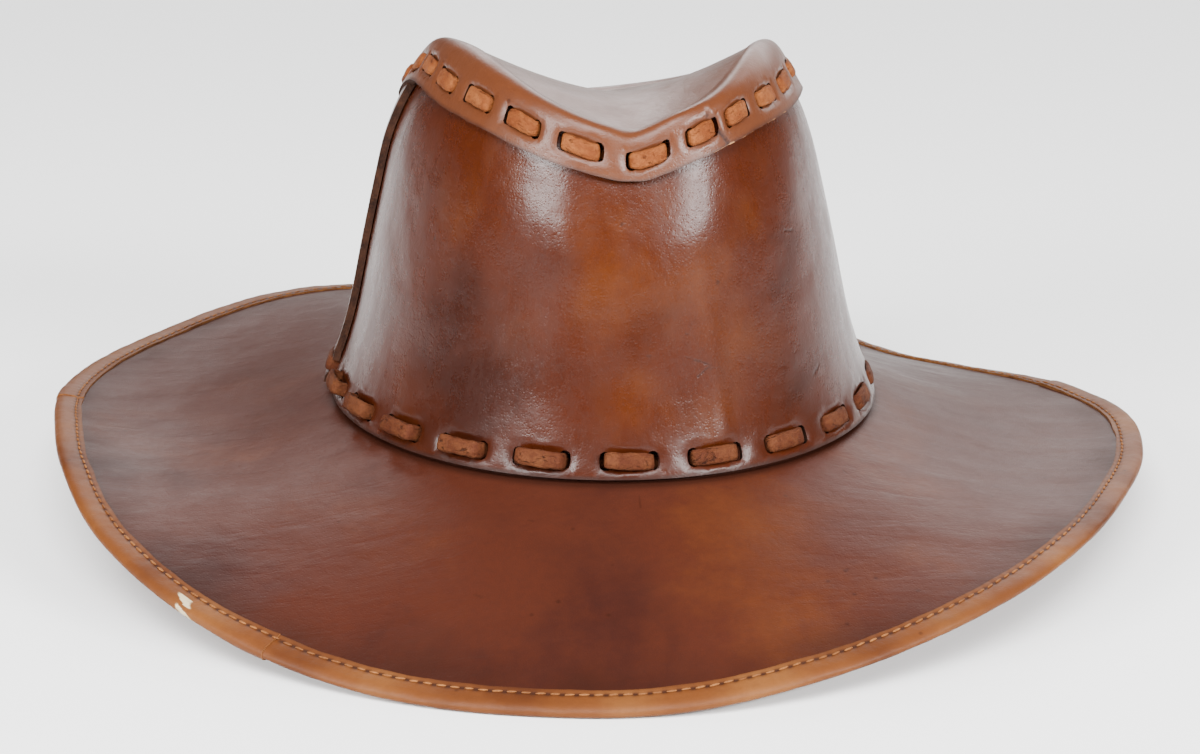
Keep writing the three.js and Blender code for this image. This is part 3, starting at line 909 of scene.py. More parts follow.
class Value:
    """A number socket that Python arithmetic joins up with Math nodes."""

    def __init__(self, shader: "Shader", socket: bpy.types.NodeSocket) -> None:
        """Wrap a socket of a shader's node."""
        self.shader = shader
        self.socket = socket

    def join(self, operation: str, *values: Any) -> "Value":
        """Return the result of a Math node on these values."""
        inputs = dict(enumerate(values))
        return self.shader.value("ShaderNodeMath", {"operation": operation}, inputs)

    def __add__(self, other: Any) -> "Value":
        """Return self + other."""
        return self.join("ADD", self, other)

    __radd__ = __add__

    def __sub__(self, other: Any) -> "Value":
        """Return self - other."""
        return self.join("SUBTRACT", self, other)

    def __rsub__(self, other: Any) -> "Value":
        """Return other - self."""
        return self.join("SUBTRACT", other, self)

    def __mul__(self, other: Any) -> "Value":
        """Return self * other."""
        return self.join("MULTIPLY", self, other)

    __rmul__ = __mul__

    def __truediv__(self, other: Any) -> "Value":
        """Return self / other."""
        return self.join("DIVIDE", self, other)

    def __pow__(self, other: Any) -> "Value":
        """Return self to the power other."""
        return self.join("POWER", self, other)

    def most(self, other: Any) -> "Value":
        """Return the larger of self and other."""
        return self.join("MAXIMUM", self, other)

    def least(self, other: Any) -> "Value":
        """Return the smaller of self and other."""
        return self.join("MINIMUM", self, other)

    def step(self, low: float, high: float) -> "Value":
        """Return a soft step from 0 where self is low to 1 where it is high.

        Args:
            low: Where the step begins.
            high: Where it ends.

        Returns:
            The step.
        """
        settings = {"interpolation_type": "SMOOTHSTEP"}
        inputs = {"Value": self, "From Min": low, "From Max": high}
        return self.shader.value("ShaderNodeMapRange", settings, inputs)


Colour = tuple[float, float, float]
Place = Callable[[float, float], Vector]


class Shader:
    """A material under construction."""

    def __init__(self, name: str) -> None:
        """Start a material with one Principled shader."""
        self.material = bpy.data.materials.new(name)
        self.material.use_nodes = True
        self.tree = self.material.node_tree
        self.principled = self.tree.nodes["Principled BSDF"]
        self.here = self.node("ShaderNodeTexCoord", {}, {}).outputs["Object"]

    def node(self, kind: str, settings: dict[str, Any], inputs: dict[Any, Any]) -> bpy.types.Node:
        """Add a node.

        Args:
            kind: The node's type.
            settings: Its settings; "stops" holds a colour ramp's stops.
            inputs: Values or links for its sockets, by name or number.

        Returns:
            The node.
        """
        node = self.tree.nodes.new(kind)
        for key, setting in settings.items():
            setattr(node, key, setting)
        for key, given in inputs.items():
            self.feed(node.inputs[key], given)
        return node

    def feed(self, socket: bpy.types.NodeSocket, given: Any) -> None:
        """Link or set a socket.

        Args:
            socket: The socket.
            given: A value, a socket, a colour or a number.
        """
        if isinstance(given, Value):
            given = given.socket
        if isinstance(given, bpy.types.NodeSocket):
            self.tree.links.new(given, socket)
        elif isinstance(given, tuple) and socket.type == "RGBA":
            socket.default_value = (*given, 1.0)
        else:
            socket.default_value = given

    def value(self, kind: str, settings: dict[str, Any], inputs: dict[Any, Any]) -> Value:
        """Add a node and return its first output as a value."""
        return Value(self, self.node(kind, settings, inputs).outputs[0])

    def vector(self, operation: str, *values: Any) -> bpy.types.Node:
        """Add a vector Math node on these values."""
        return self.node("ShaderNodeVectorMath", {"operation": operation}, dict(enumerate(values)))

    def attribute(self, name: str) -> Value:
        """Return one of the mesh's own attributes."""
        node = self.node("ShaderNodeAttribute", {"attribute_name": name}, {})
        return Value(self, node.outputs["Fac"])

    def scaled(self, stretch: Colour, turn: Colour = (0.0, 0.0, 0.0)) -> bpy.types.NodeSocket:
        """Return the object's coordinates, turned and then stretched."""
        inputs = {"Vector": self.here, "Scale": stretch, "Rotation": turn}
        return self.node("ShaderNodeMapping", {"vector_type": "POINT"}, inputs).outputs["Vector"]

    def clouds(self, size: float, detail: float = 3.0, rough: float = 0.5, warp: float = 0.0,
               where: Any = None) -> Value:
        """Return soft noise from 0 to 1.

        Args:
            size: Size of its blobs in millimetres.
            detail: How many finer layers it has.
            rough: How strong they are.
            warp: How much it is pulled about.
            where: Coordinates in metres, or None for the object's own.

        Returns:
            The noise.
        """
        inputs = {"Vector": where or self.here, "Scale": 1 / (size * MM), "Detail": detail,
                  "Roughness": rough, "Distortion": warp}
        return self.value("ShaderNodeTexNoise", {}, inputs)

    def cells(self, size: float) -> Value:
        """Return the distances of a cell pattern, for pores and flecks."""
        inputs = {"Vector": self.here, "Scale": 1 / (size * MM)}
        return self.value("ShaderNodeTexVoronoi", {}, inputs)

    def mix(self, factor: Any, a: Any, b: Any, kind: str = "MIX") -> bpy.types.NodeSocket:
        """Return colour a where factor is 0, and b where it is 1."""
        settings = {"data_type": "RGBA", "blend_type": kind, "clamp_factor": True}
        return self.node("ShaderNodeMix", settings, {0: factor, 6: a, 7: b}).outputs[2]

    def wander(self, size: float, reach: float) -> bpy.types.NodeSocket:
        """Return the object's coordinates pulled about by noise.

        Args:
            size: Size of the noise's blobs in millimetres.
            reach: How far they are pulled in millimetres.

        Returns:
            The coordinates.
        """
        inputs = {"Vector": self.here, "Scale": 1 / (size * MM), "Detail": 3.0}
        pull = self.node("ShaderNodeTexNoise", {}, inputs).outputs["Color"]
        stretch, middle = (reach * MM,) * 3, (-0.5 * reach * MM,) * 3
        pull = self.vector("MULTIPLY_ADD", pull, stretch, middle).outputs[0]
        return self.vector("ADD", self.here, pull).outputs[0]

    def stains(self, stains: Sequence["Stain"], place: Place, where: Any) -> Any:
        """Return the sum of soft clouds.

        Args:
            stains: The clouds.
            place: Gives the point in metres at a turn and a level.
            where: The coordinates to draw them in.

        Returns:
            The sum, each cloud having its own strength at its middle.
        """
        total = 0.0
        for stain in stains:
            away = self.vector("DISTANCE", where, tuple(place(stain.turn, stain.level)))
            cloud = Value(self, away.outputs["Value"]).step(stain.radius * MM * 1.5, 0.0)
            total = total + cloud * stain.strength
        return total

    def scratches(self, marks: Sequence["Scratch"], place: Place, where: Any) -> Any:
        """Return fine marks, each along the line between its two ends.

        Args:
            marks: The marks.
            place: Gives the point in metres at a turn and a level.
            where: The coordinates to draw them in.

        Returns:
            The mask: each mark's strength on its line, and 0 away from it.
        """
        total = 0.0
        for mark in marks:
            start = place(mark.turn, mark.level)
            run = place(mark.end_turn, mark.end_level) - start
            from_start = self.vector("SUBTRACT", where, tuple(start)).outputs[0]
            along = self.vector("DOT_PRODUCT", from_start, tuple(run / run.length_squared))
            share = Value(self, along.outputs["Value"]).most(0.0).least(1.0)
            inputs = {"Vector": tuple(run), "Scale": share}
            nearest = self.node("ShaderNodeVectorMath", {"operation": "SCALE"}, inputs)
            away = self.vector("DISTANCE", from_start, nearest.outputs[0])
            line = Value(self, away.outputs["Value"]).step(mark.half_wide * MM, 0.0)
            total = (line * mark.strength).most(total)
        return total

    def bump(self, height: Value, deep: float, under: Any = None) -> bpy.types.NodeSocket:
        """Return a normal raised by height, where a height of 1 stands deep millimetres.

        Args:
            height: The height.
            deep: Its depth in millimetres.
            under: A normal that it is added to, or None.

        Returns:
            The normal.
        """
        inputs = {"Height": height, "Distance": deep * MM, "Strength": 1.0}
        if under is not None:
            inputs["Normal"] = under
        return self.node("ShaderNodeBump", {}, inputs).outputs["Normal"]

    def finish(self, colour: Any, rough: Any, normal: Any = None,
               **constants: Any) -> bpy.types.Material:
        """Feed the Principled shader and return the material.

        Args:
            colour: Base colour.
            rough: Roughness.
            normal: Normal, or None.
            constants: Values for its other sockets, with _ for each space in their names.

        Returns:
            The material.
        """
        self.feed(self.principled.inputs["Base Color"], colour)
        self.feed(self.principled.inputs["Roughness"], rough)
        if normal is not None:
            self.feed(self.principled.inputs["Normal"], normal)
        for name, constant in constants.items():
            self.feed(self.principled.inputs[name.replace("_", " ")], constant)
        return self.material


# Finishes

class Scratch(NamedTuple):
    """A fine dark mark in the face, between two places.

    A level is a height in millimetres on the crown. On the brim it is the share of the way from
    the crown to the edge.
    """

    turn: float
    level: float
    end_turn: float
    end_level: float
    half_wide: float
    strength: float


class Stain(NamedTuple):
    """A soft cloud in the dye: the turn and level of its middle, its radius and its strength."""

    turn: float
    level: float
    radius: float
    strength: float


@dataclass(frozen=True)
class GlossyHide:
    """Waxed leather, mottled where the dye took unevenly."""

    name: str
    burnt_and_shade: Colour
    deep: Colour
    body: Colour
    bright: Colour
    raw: Colour
    dark_clouds: tuple[Stain, ...]
    bright_clouds: tuple[Stain, ...]
    bright_share: float
    deep_share: float
    roughness: float
    specular: float
    scratches: tuple[Scratch, ...] = ()
    streak: Colour = (1.2, 1.2, 0.55)
    streak_deep: float = 0.12

    def make(self, place: Place) -> bpy.types.Material:
        """Build the material of the dyed face.

        Args:
            place: Gives the point in metres at a turn and a level, for the marks.

        Returns:
            The material.
        """
        s = Shader(self.name)
        middle = s.clouds(15, 4, 0.6, 0.4)
        fine = s.clouds(2.2, 5, 0.65)
        drawn = s.clouds(9, 4, 0.6, 0.3, s.scaled((1.5, 1.5, 0.55)))
        wander = s.wander(24, 14)
        bright = s.clouds(58, 3, 0.5, 0.5) * 0.65 + middle * 0.2 + drawn * 0.2
        bright = (bright + s.stains(self.bright_clouds, place, wander)).step(
            0.61 - self.bright_share * 0.2, 0.99 - self.bright_share * 0.2)
        deep = s.clouds(46, 3, 0.55, 0.6, s.scaled((1.0, 1.0, 1.0), (0.4, 0.2, 0.7)))
        deep = deep * 0.65 + middle * 0.2 + drawn * 0.2
        deep = (deep + s.stains(self.dark_clouds, place, wander)).step(
            0.63 - self.deep_share * 0.2, 1.05 - self.deep_share * 0.2)
        colour = s.mix(bright, self.body, self.bright)
        colour = s.mix(deep * 0.9, colour, self.deep)
        colour = s.mix((fine - 0.4) * 0.6, colour, self.deep)
        flecks = (1 - s.cells(8).step(0.04, 0.13)) * s.clouds(28).step(0.52, 0.6)
        colour = s.mix(flecks * 0.6, colour, self.burnt_and_shade)
        nicks = s.scratches(self.scratches, place, s.wander(5, 2.2))
        nicks = nicks * (0.55 + s.clouds(2.5, 3, 0.6) * 0.9)
        colour = s.mix(nicks, colour, self.burnt_and_shade)
        # The mesh's darkening: partly real dark edges and bands, partly painted shade at the
        # crown's base, the skirt's slit and lower edge, and the binding's stitches.
        colour = s.mix(s.attribute("darkening_and_shade"), colour, self.burnt_and_shade)
        frayed = (s.attribute("wear") * (0.6 + s.clouds(1.6, 4, 0.7) * 0.8)).step(0.45, 0.75)
        colour = s.mix(frayed, colour, self.raw)
        streaks = s.clouds(11, 4, 0.55, 0.4, s.scaled(self.streak))
        rough = self.roughness + (middle - 0.5) * 0.14 + (fine - 0.5) * 0.12
        rough = rough + (streaks - 0.5) * 0.2 + frayed * 0.35
        rough = (rough + s.attribute("darkening_and_shade") * 0.12).most(0.12)
        pores = s.cells(0.9).step(0.0, 0.5)
        wrinkles = s.clouds(3.2, 5, 0.62, 0.6)
        normal = s.bump(pores * 0.35 + wrinkles, 0.07)
        normal = s.bump(1 - nicks, 0.06, normal)
        normal = s.bump(s.clouds(9, 3, 0.5, 0.3), 0.13, normal)
        normal = s.bump(streaks, self.streak_deep, normal)
        normal = s.bump(s.clouds(26, 2, 0.4, 0.2), 0.8, normal)
        return s.finish(colour, rough, normal, Specular_IOR_Level=self.specular)


@dataclass(frozen=True)
class RoughSide:
    """A flesh side or a raw cut edge: dull and fibrous."""

    name: str
    dark: Colour
    light: Colour
    fibre: float
    roughness: float = 0.85

    def make(self) -> bpy.types.Material:
        """Build the material.

        Returns:
            The material.
        """
        s = Shader(self.name)
        fibres = s.clouds(self.fibre, 6, 0.72, 0.5)
        patches = s.clouds(self.fibre * 9, 3, 0.6)
        colour = s.mix((fibres * 0.7 + patches * 0.5).step(0.42, 0.78), self.dark, self.light)
        normal = s.bump(fibres, 0.3)
        return s.finish(colour, self.roughness, normal, Specular_IOR_Level=0.12)


@dataclass(frozen=True)
class Suede:
    """The laces' split leather: orange-tan, napped and cracked."""

    name: str
    dark: Colour
    body: Colour
    light: Colour

    def make(self) -> bpy.types.Material:
        """Build the material.

        Returns:
            The material.
        """
        s = Shader(self.name)
        along = s.node("ShaderNodeUVMap", {"uv_map": "Surface"}, {}).outputs["UV"]
        drawn = s.node("ShaderNodeMapping", {"vector_type": "POINT"},
                       {"Vector": along, "Scale": (0.35, 1.0, 1.0)}).outputs["Vector"]
        fibres = s.clouds(1.0, 6, 0.75, 0.6, drawn)
        nap = s.clouds(0.8, 5, 0.7, 0.4)
        patches = s.clouds(6, 4, 0.6, 0.4)
        gaps = (1 - s.clouds(2.2, 4, 0.7, 1.2, drawn)).step(0.58, 0.70)
        colour = s.mix((patches * 0.6 + fibres * 0.5).step(0.42, 0.72), self.body, self.light)
        colour = s.mix(nap.step(0.50, 0.72) * 0.6, colour, self.dark)
        colour = s.mix(gaps * 0.75, colour, self.dark)
        rough = 0.70 + (nap - 0.5) * 0.3
        normal = s.bump(fibres + nap * 0.5 - gaps * 0.8, 0.6)
        return s.finish(colour, rough, normal, Specular_IOR_Level=0.12)


@dataclass(frozen=True)
class Thread:
    """Waxed sewing thread."""

    name: str
    dark: Colour
    light: Colour

    def make(self) -> bpy.types.Material:
        """Build the material.

        Returns:
            The material.
        """
        s = Shader(self.name)
        plies = s.clouds(0.5, 4, 0.6)
        colour = s.mix((plies * 0.6 + s.clouds(14) * 0.6).step(0.4, 0.8), self.dark, self.light)
        return s.finish(colour, 0.6, s.bump(plies, 0.08), Specular_IOR_Level=0.12)


CROWN_DARK = tuple(Stain(*row) for row in (
    (-37, 76, 24, 0.20), (-45, 87, 14, 0.115), (-24.5, 100, 13, 0.15), (-18.5, 65, 16, 0.095),
    (4, 85.5, 9, 0.14), (44, 105, 12, 0.20), (37, 92, 15, 0.20), (34, 84, 10, 0.12),
    (-48.5, 59, 22, 0.255), (-35, 54.5, 14, 0.19), (38.5, 58, 18, 0.20), (9, 60, 12, 0.10),
    (-2, 77, 10, 0.09), (-58.5, 116, 12, 0.09),
))
CROWN_BRIGHT = tuple(Stain(*row) for row in (
    (-11, 107, 15, 0.15), (-9.5, 90.5, 13, 0.115), (6.5, 116, 9, 0.14), (10.5, 92, 16, 0.08),
    (-4.5, 55.5, 14, 0.19), (25, 73, 11, 0.16), (28.5, 107.5, 8, 0.16), (-27.5, 74, 9, 0.09),
    (-51, 108, 12, 0.09), (15.5, 56, 10, 0.12),
))
CROWN_SCRATCHES = tuple(Scratch(*row) for row in (
    (0.1, 73.5, 0.5, 73.3, 0.8, 0.55), (9.0, 79.2, 9.2, 79.2, 0.7, 0.7),
    (8.7, 72.5, 15.9, 68.1, 0.6, 0.7), (11.2, 66.6, 16.3, 70.7, 0.6, 0.8),
    (14.2, 68.1, 16.4, 68.0, 0.8, 0.7), (40.7, 102.3, 44.2, 101.8, 0.8, 0.7),
    (43.1, 57.5, 45.8, 59.7, 0.9, 0.7), (67.5, 106.0, 68.6, 103.6, 0.6, 0.6),
))
BRIM_DARK = tuple(Stain(*row) for row in (
    (-50.5, 0.895, 30, 0.30), (-73.5, 0.865, 34, 0.24), (-27, 0.85, 24, 0.22),
    (-7, 0.82, 30, 0.22), (-7, 0.495, 22, 0.16), (18.5, 0.755, 12, 0.06),
    (78.5, 0.75, 22, 0.12), (-52.5, 0.12, 16, 0.12), (-10, 0.08, 12, 0.10),
    (39, 0.785, 20, 0.10),
))
BRIM_BRIGHT = tuple(Stain(*row) for row in (
    (12, 0.26, 30, 0.20), (12, 0.76, 26, 0.16), (-33.5, 0.28, 28, 0.12),
    (-78, 0.425, 30, 0.08), (45.5, 0.315, 24, 0.10), (-16, 0.73, 14, 0.08),
))
BRIM_SCRATCHES = tuple(Scratch(*row) for row in (
    (-22.9, 0.555, -22.2, 0.56, 1.1, 0.3), (101.0, 0.18, 86.5, 0.30, 0.75, 0.45),
    (-2.6, 0.065, -2.6, 0.115, 0.6, 0.4), (-20.5, 0.195, -19.8, 0.195, 0.75, 0.35),
    (-70.0, 0.465, -68.3, 0.445, 0.75, 0.25), (-43.9, 0.405, -43.1, 0.405, 0.7, 0.27),
    (38.4, 0.135, 38.1, 0.165, 0.75, 0.4),
))
BINDING_DARK = tuple(Stain(*row) for row in (
    (50.5, 0.96, 16, 0.30), (63, 1.0, 10, 0.25), (-34.5, 0.98, 12, 0.23),
    (-77, 0.975, 14, 0.25), (-15.5, 0.955, 10, 0.235), (-20.5, 0.965, 6, 0.135),
    (15.5, 1.015, 8, 0.185), (93.5, 1.005, 12, 0.17), (-53.5, 0.98, 9, 0.20),
    (31.5, 0.98, 9, 0.16),
))
BINDING_BRIGHT = tuple(Stain(*row) for row in (
    (6, 0.995, 14, 0.28), (23.5, 1.01, 12, 0.23), (-45, 0.975, 14, 0.235),
    (84, 0.995, 14, 0.22), (-27, 0.98, 10, 0.21), (-6, 0.98, 10, 0.215),
    (40, 0.985, 9, 0.24), (-64, 0.98, 12, 0.20),
))
# Near-black: for flecks, nicks and burnished edges, and for painted shade through the mesh's
# darkening.
BURNT_AND_SHADE = (0.016, 0.0045, 0.0025)
CROWN_FACE = GlossyHide(
    "crown_leather", burnt_and_shade=BURNT_AND_SHADE, deep=(0.0165, 0.0028, 0.0009), body=(0.037, 0.0063, 0.0012),
    bright=(0.062, 0.0142, 0.0019), raw=(0.26, 0.125, 0.055), dark_clouds=CROWN_DARK,
    bright_clouds=CROWN_BRIGHT, bright_share=0.5, deep_share=0.5, roughness=0.28, specular=0.21,
    scratches=CROWN_SCRATCHES)
TIP_FACE = GlossyHide(
    "tip_leather", burnt_and_shade=BURNT_AND_SHADE, deep=(0.038, 0.0100, 0.0042), body=(0.072, 0.0205, 0.0070),
    bright=(0.100, 0.0330, 0.0105), raw=(0.22, 0.105, 0.045), dark_clouds=CROWN_DARK,
    bright_clouds=CROWN_BRIGHT, bright_share=0.5, deep_share=0.35, roughness=0.35,
    specular=0.27)
BRIM_FACE = GlossyHide(
    "brim_leather", burnt_and_shade=BURNT_AND_SHADE, deep=(0.019, 0.0058, 0.0046), body=(0.041, 0.0104, 0.0056),
    bright=(0.070, 0.0190, 0.0062), raw=(0.40, 0.27, 0.17), dark_clouds=BRIM_DARK,
    bright_clouds=BRIM_BRIGHT, bright_share=0.3, deep_share=0.5, roughness=0.38,
    specular=0.072, scratches=BRIM_SCRATCHES, streak=(0.28, 1.1, 1.0), streak_deep=0.3)
BINDING_FACE = GlossyHide(
    "binding_leather", burnt_and_shade=(0.024, 0.007, 0.003), deep=(0.044, 0.0112, 0.0030),
    body=(0.095, 0.0290, 0.0068), bright=(0.138, 0.0505, 0.0130), raw=(0.42, 0.34, 0.21),
    dark_clouds=BINDING_DARK, bright_clouds=BINDING_BRIGHT, bright_share=0.5, deep_share=0.62,
    roughness=0.50, specular=0.13)
CROWN_FLESH = RoughSide("crown_flesh", (0.060, 0.018, 0.008), (0.14, 0.048, 0.019), 0.9)
BRIM_FLESH = RoughSide("brim_flesh", (0.055, 0.018, 0.009), (0.12, 0.044, 0.019), 0.9)
CUT_EDGE = RoughSide("cut_edge", (0.010, 0.0038, 0.0024), (0.048, 0.0185, 0.0095), 0.6)
BINDING_EDGE = RoughSide("binding_edge", (0.08, 0.026, 0.008), (0.22, 0.090, 0.030), 0.5)
BASE_LACE_FACE = Suede("base_lace_leather", (0.014, 0.0030, 0.0013), (0.048, 0.0105, 0.0031),
                       (0.088, 0.027, 0.0088))
TOP_LACE_FACE = Suede("top_lace_leather", (0.030, 0.0062, 0.0018), (0.112, 0.0270, 0.0054),
                      (0.185, 0.058, 0.0150))
SEWING = Thread("sewing_thread", (0.09, 0.030, 0.009), (0.21, 0.082, 0.024))


def ladder(bands: Sequence[tuple[int, float]]) -> list[float]:
    """Divide bands into rows.

    Args:
        bands: How many rows each band has, and how much closer they stand at its ends (0 to 0.15).

    Returns:
        Positions such as 2.25, a quarter of the way up the third band.
    """
    rows = []
    for band, (count, ease) in enumerate(bands):
        for i in range(count):
            t = i / count
            rows.append(band + t - ease * math.sin(2 * math.pi * t))
    return [*rows, float(len(bands))]


def round_columns(first: int, last: int, slot_steps: int = 3, other_steps: int = 6) -> list[float]:
    """Divide the cells between two whole columns, with short steps at the slots.

    Args:
        first: The first column.
        last: The last column.
        slot_steps: Steps across a slot.
        other_steps: Steps across a stitch or an underpass.

    Returns:
        The columns, whole and not.
    """
    columns = []
    for column in range(first, last):
        steps = slot_steps if column % 2 == 0 else other_steps
        columns += [column + i / steps for i in range(steps)]
    return [*columns, float(last)]


def wave(point: Vector, size: float, seed: float) -> float:
    """Return soft noise from about -1 to 1 at a point, with blobs of a size in millimetres."""
    return noise.noise(point / size + Vector((seed, -seed, 2 * seed)))


@dataclass
class CrownWall:
    """The sheet wrapped round the head, its outer end over its inner end at the -X side."""

    form: HatForm
    mark: StitchPrint
    lift: float = 1.25
    above_top_lace: float = 5.2
    below_crest: float = 3.4
    lap: int = 2
    swell: float = 0.5
    swell_size: float = 42.0
    swell_from_base: float = 14.0
    face_per_degree: float = 1.5
    ridge_turn: float = 15.5
    ridge_rise: float = 0.8
    ridge_half_wide: float = 4.5
    ridge_full_z: float = 66.0
    ridge_end_z: float = 92.0
    bulge_half_tall: float = 13.0
    # How dark the bottom edge is painted: its own dark finish plus painted shade of the gap over
    # the brim.
    edge_dark_and_shade: float = 0.85
    # How much darker a band from about 1 to 17 mm above the bottom edge is.
    low_band_dark: float = 0.22
    bulges: tuple[tuple[float, float, float, float], ...] = (
        (-26.0, 106.0, 20.0, 1.1), (14.0, 109.0, 18.0, 1.0))

    def height(self, turn: float, row: float) -> float:
        """Return a row's height: bottom, base slots, face, top slots, top.

        Args:
            turn: The turn.
            row: The row, where each whole number starts a band.

        Returns:
            The height.
        """
        f = self.form
        low, high = f.lace_height(Lace.BASE, turn), f.lace_height(Lace.TOP, turn)
        top = min(high + self.above_top_lace, f.crest(turn) - self.below_crest)
        levels = (f.base_height(turn) + self.lift, low - f.slot_half_tall, low + f.slot_half_tall,
                  high - f.slot_half_tall, high + f.slot_half_tall, top)
        return between(levels, row)

    def spot(self, column: float, row: float) -> Spot:
        """Return a point of the wall's outer face.

        Args:
            column: The column.
            row: The row, where each whole number starts a band.

        Returns:
            The point.
        """
        f = self.form
        lean = clamp(row - 2)
        for lace, band in ((Lace.BASE, 1.5), (Lace.TOP, 3.5)):
            if abs(row - band) < 1.5:
                turn = f.turn_of(column, lean)
                above = self.height(turn, row) - f.lace_height(lace, turn)
                column, moved = self.mark.warp(column, above, lace, f.slot_half_tall)
                turn = f.turn_of(column, lean)
                z = self.height(turn, row) + (moved - above)
                break
        else:
            turn = f.turn_of(column, lean)
            z = self.height(turn, row)
        press = sum(self.mark.press(column, z - f.lace_height(lace, turn), lace) for lace in Lace)
        face = f.crown_face(turn, z)
        rise_z = z - f.base_height(turn)
        swell = self.swell * wave(face, self.swell_size, 3.1)
        swell *= smooth(0, self.swell_from_base, rise_z)
        aside = (centred(turn) - self.ridge_turn) * self.face_per_degree
        ridge = bell(aside, self.ridge_half_wide)
        ridge *= 1 - smooth(self.ridge_full_z, self.ridge_end_z, z)
        swell += self.ridge_rise * ridge * smooth(5, 13, rise_z)
        for at_turn, at_z, wide, rise in self.bulges:
            aside = centred(turn - at_turn) * self.face_per_degree
            swell += rise * bell(aside, wide) * bell(z - at_z, self.bulge_half_tall)
        at = f.crown_point(turn, z, f.wall_out(turn) + press + swell)
        # The bottom edge is darkened, partly its own dark finish and partly painted shade of the
        # gap over the brim; a weaker darkening runs in a band above it.
        above = z - f.base_height(turn) - self.lift
        rim = smooth(1.0, 2.0, above) * (1 - smooth(7, 17, above))
        return Spot(at, self.edge_dark_and_shade * (1 - smooth(0.5, 1.4, above)) + self.low_band_dark * rim)

    def is_hole(self, column: float, row: float) -> bool:
        """Tell whether a face is inside a slot."""
        return math.floor(column) % 2 == 0 and int(row) in (1, 3)

    def build(self) -> bpy.types.Object:
        """Make the wall.

        Returns:
            The wall's object.
        """
        last = self.form.seam_column
        columns = round_columns(last - self.form.cells - self.lap, last)
        rows = ladder([(3, 0), (8, 0), (36, 0.09), (8, 0), (3, 0)])
        sheet = Sheet("crown_wall_leather", self.form, columns, rows, self.spot, self.is_hole)
        piece = sheet.piece("crown_leather", "crown_wall", self.form.hide)
        face = CROWN_FACE.make(self.form.on_crown)
        return piece.dress(face, CROWN_FLESH.make(), CUT_EDGE.make()).report()


@dataclass
class CrownTip:
    """The creased top of the crown, folded down all round into a skirt outside the wall."""

    form: HatForm
    mark: StitchPrint
    swell: float = 0.6
    swell_size: float = 30.0
    fold_reach: float = 6.0
    fold_rise: float = 1.6
    fold_inset: float = 0.3
    cut_back: float = 1.3
    cut_back_turn: float = -108.0
    cut_back_half_turn: float = 26.0
    ragged: float = 0.22
    # How dark the skirt's lower edge is painted: a burnished edge plus painted shade under it.
    edge_dark_and_shade: float = 0.8
    fray: float = 0.62
    fray_turn: float = 38.0
    fray_half_turn: float = 26.0

    def spot(self, column: float, row: float) -> Spot:
        """Return a point of the tip's outer face: skirt, slots, bend, then the top to its middle.

        Args:
            column: The column.
            row: The row, where each whole number starts a band.

        Returns:
            The point.
        """
        f = self.form
        turn = f.turn_of(column, 1.0)
        lace = f.lace_top(turn)
        if row <= 3:
            from_cut = centred(turn - self.cut_back_turn)
            below = f.skirt_below_lace - self.cut_back * bell(from_cut, self.cut_back_half_turn)
            levels = (-below, -f.slot_half_tall, f.slot_half_tall, f.skirt_above_lace)
            above = between(levels, row)
            column, above = self.mark.warp(column, above, Lace.TOP, f.slot_half_tall)
            turn = f.turn_of(column, 1.0)
            press = self.mark.press(column, above, Lace.TOP)
            around = sum(f.lace_top(turn + step) for step in (-6, -3, 0, 3, 6)) / 5
            softer = (around - f.lace_top(turn)) * (1 - clamp(row))
            ragged = self.ragged * wave(f.crown_face(turn, 130), 5, 2.0) * (1 - clamp(row))
            z = f.lace_top(turn) + above + softer + ragged
            at = f.crown_point(turn, z, f.skirt_face(turn, above) + press)
            # Painted shade in the slit just before the skirt's lapping end; a pale raw edge just
            # past it.
            slit_shade = bell(f.past_lap(turn, above) * 1.25 + 0.3, 0.55)
            lit = bell(f.past_lap(turn, above) * 1.25 - 0.7, 0.45)
            # The skirt's lowest millimetre is darkened: a burnished edge with painted shade under
            # it.
            edge = self.edge_dark_and_shade * (1 - smooth(0.2, 0.9, above + below))
            frayed = self.fray * (1 - smooth(0.1, 0.7, above + below))
            frayed *= bell(centred(turn) - self.fray_turn, self.fray_half_turn)
            frayed *= 1 + 1.5 * wave(at, 3, 1.0)
            return Spot(at, clamp(edge + slit_shade), 0.55 * lit + frayed)
        rim = f.crest_point(turn)
        inner = 1 - self.fold_reach / (rim.xy - Vector((f.crown_shift, 0.0))).length
        if row <= 4:
            t = row - 3
            face = f.skirt_face(turn, f.skirt_above_lace)
            low = f.crown_point(turn, lace + f.skirt_above_lace, face)
            corner = f.skirt_face(turn, f.crest_above) - self.fold_inset
            corner = f.crown_point(turn, f.crest(turn) + self.fold_rise, corner)
            top = f.tip_face(turn, inner)
            at = low * (1 - t) ** 2 + corner * (2 * t * (1 - t)) + top * t ** 2
            press = self.mark.press(column, at.z - lace, Lace.TOP)
            return Spot(at + f.crown_frame(turn, at.z).square * press)
        at = f.tip_face(turn, inner * max(5 - row, 0.0))
        at.z += self.swell * smooth(4.0, 4.2, row) * wave(at, self.swell_size, 7.7)
        return Spot(at)

    def is_hole(self, column: float, row: float) -> bool:
        """Tell whether a face is inside a slot."""
        return math.floor(column) % 2 == 0 and int(row) == 1

    def build(self) -> bpy.types.Object:
        """Make the tip.

        Returns:
            The tip's object.
        """
        columns = round_columns(0, self.form.cells)
        rows = ladder([(5, 0), (8, 0), (2, 0), (12, 0), (34, 0.08)])
        sheet = Sheet("crown_tip_leather", self.form, columns, rows, self.spot, self.is_hole, True)
        piece = sheet.piece("crown_leather", "crown_tip", self.form.hide)
        face = TIP_FACE.make(self.form.on_crown)
        return piece.dress(face, CROWN_FLESH.make(), CUT_EDGE.make()).report()


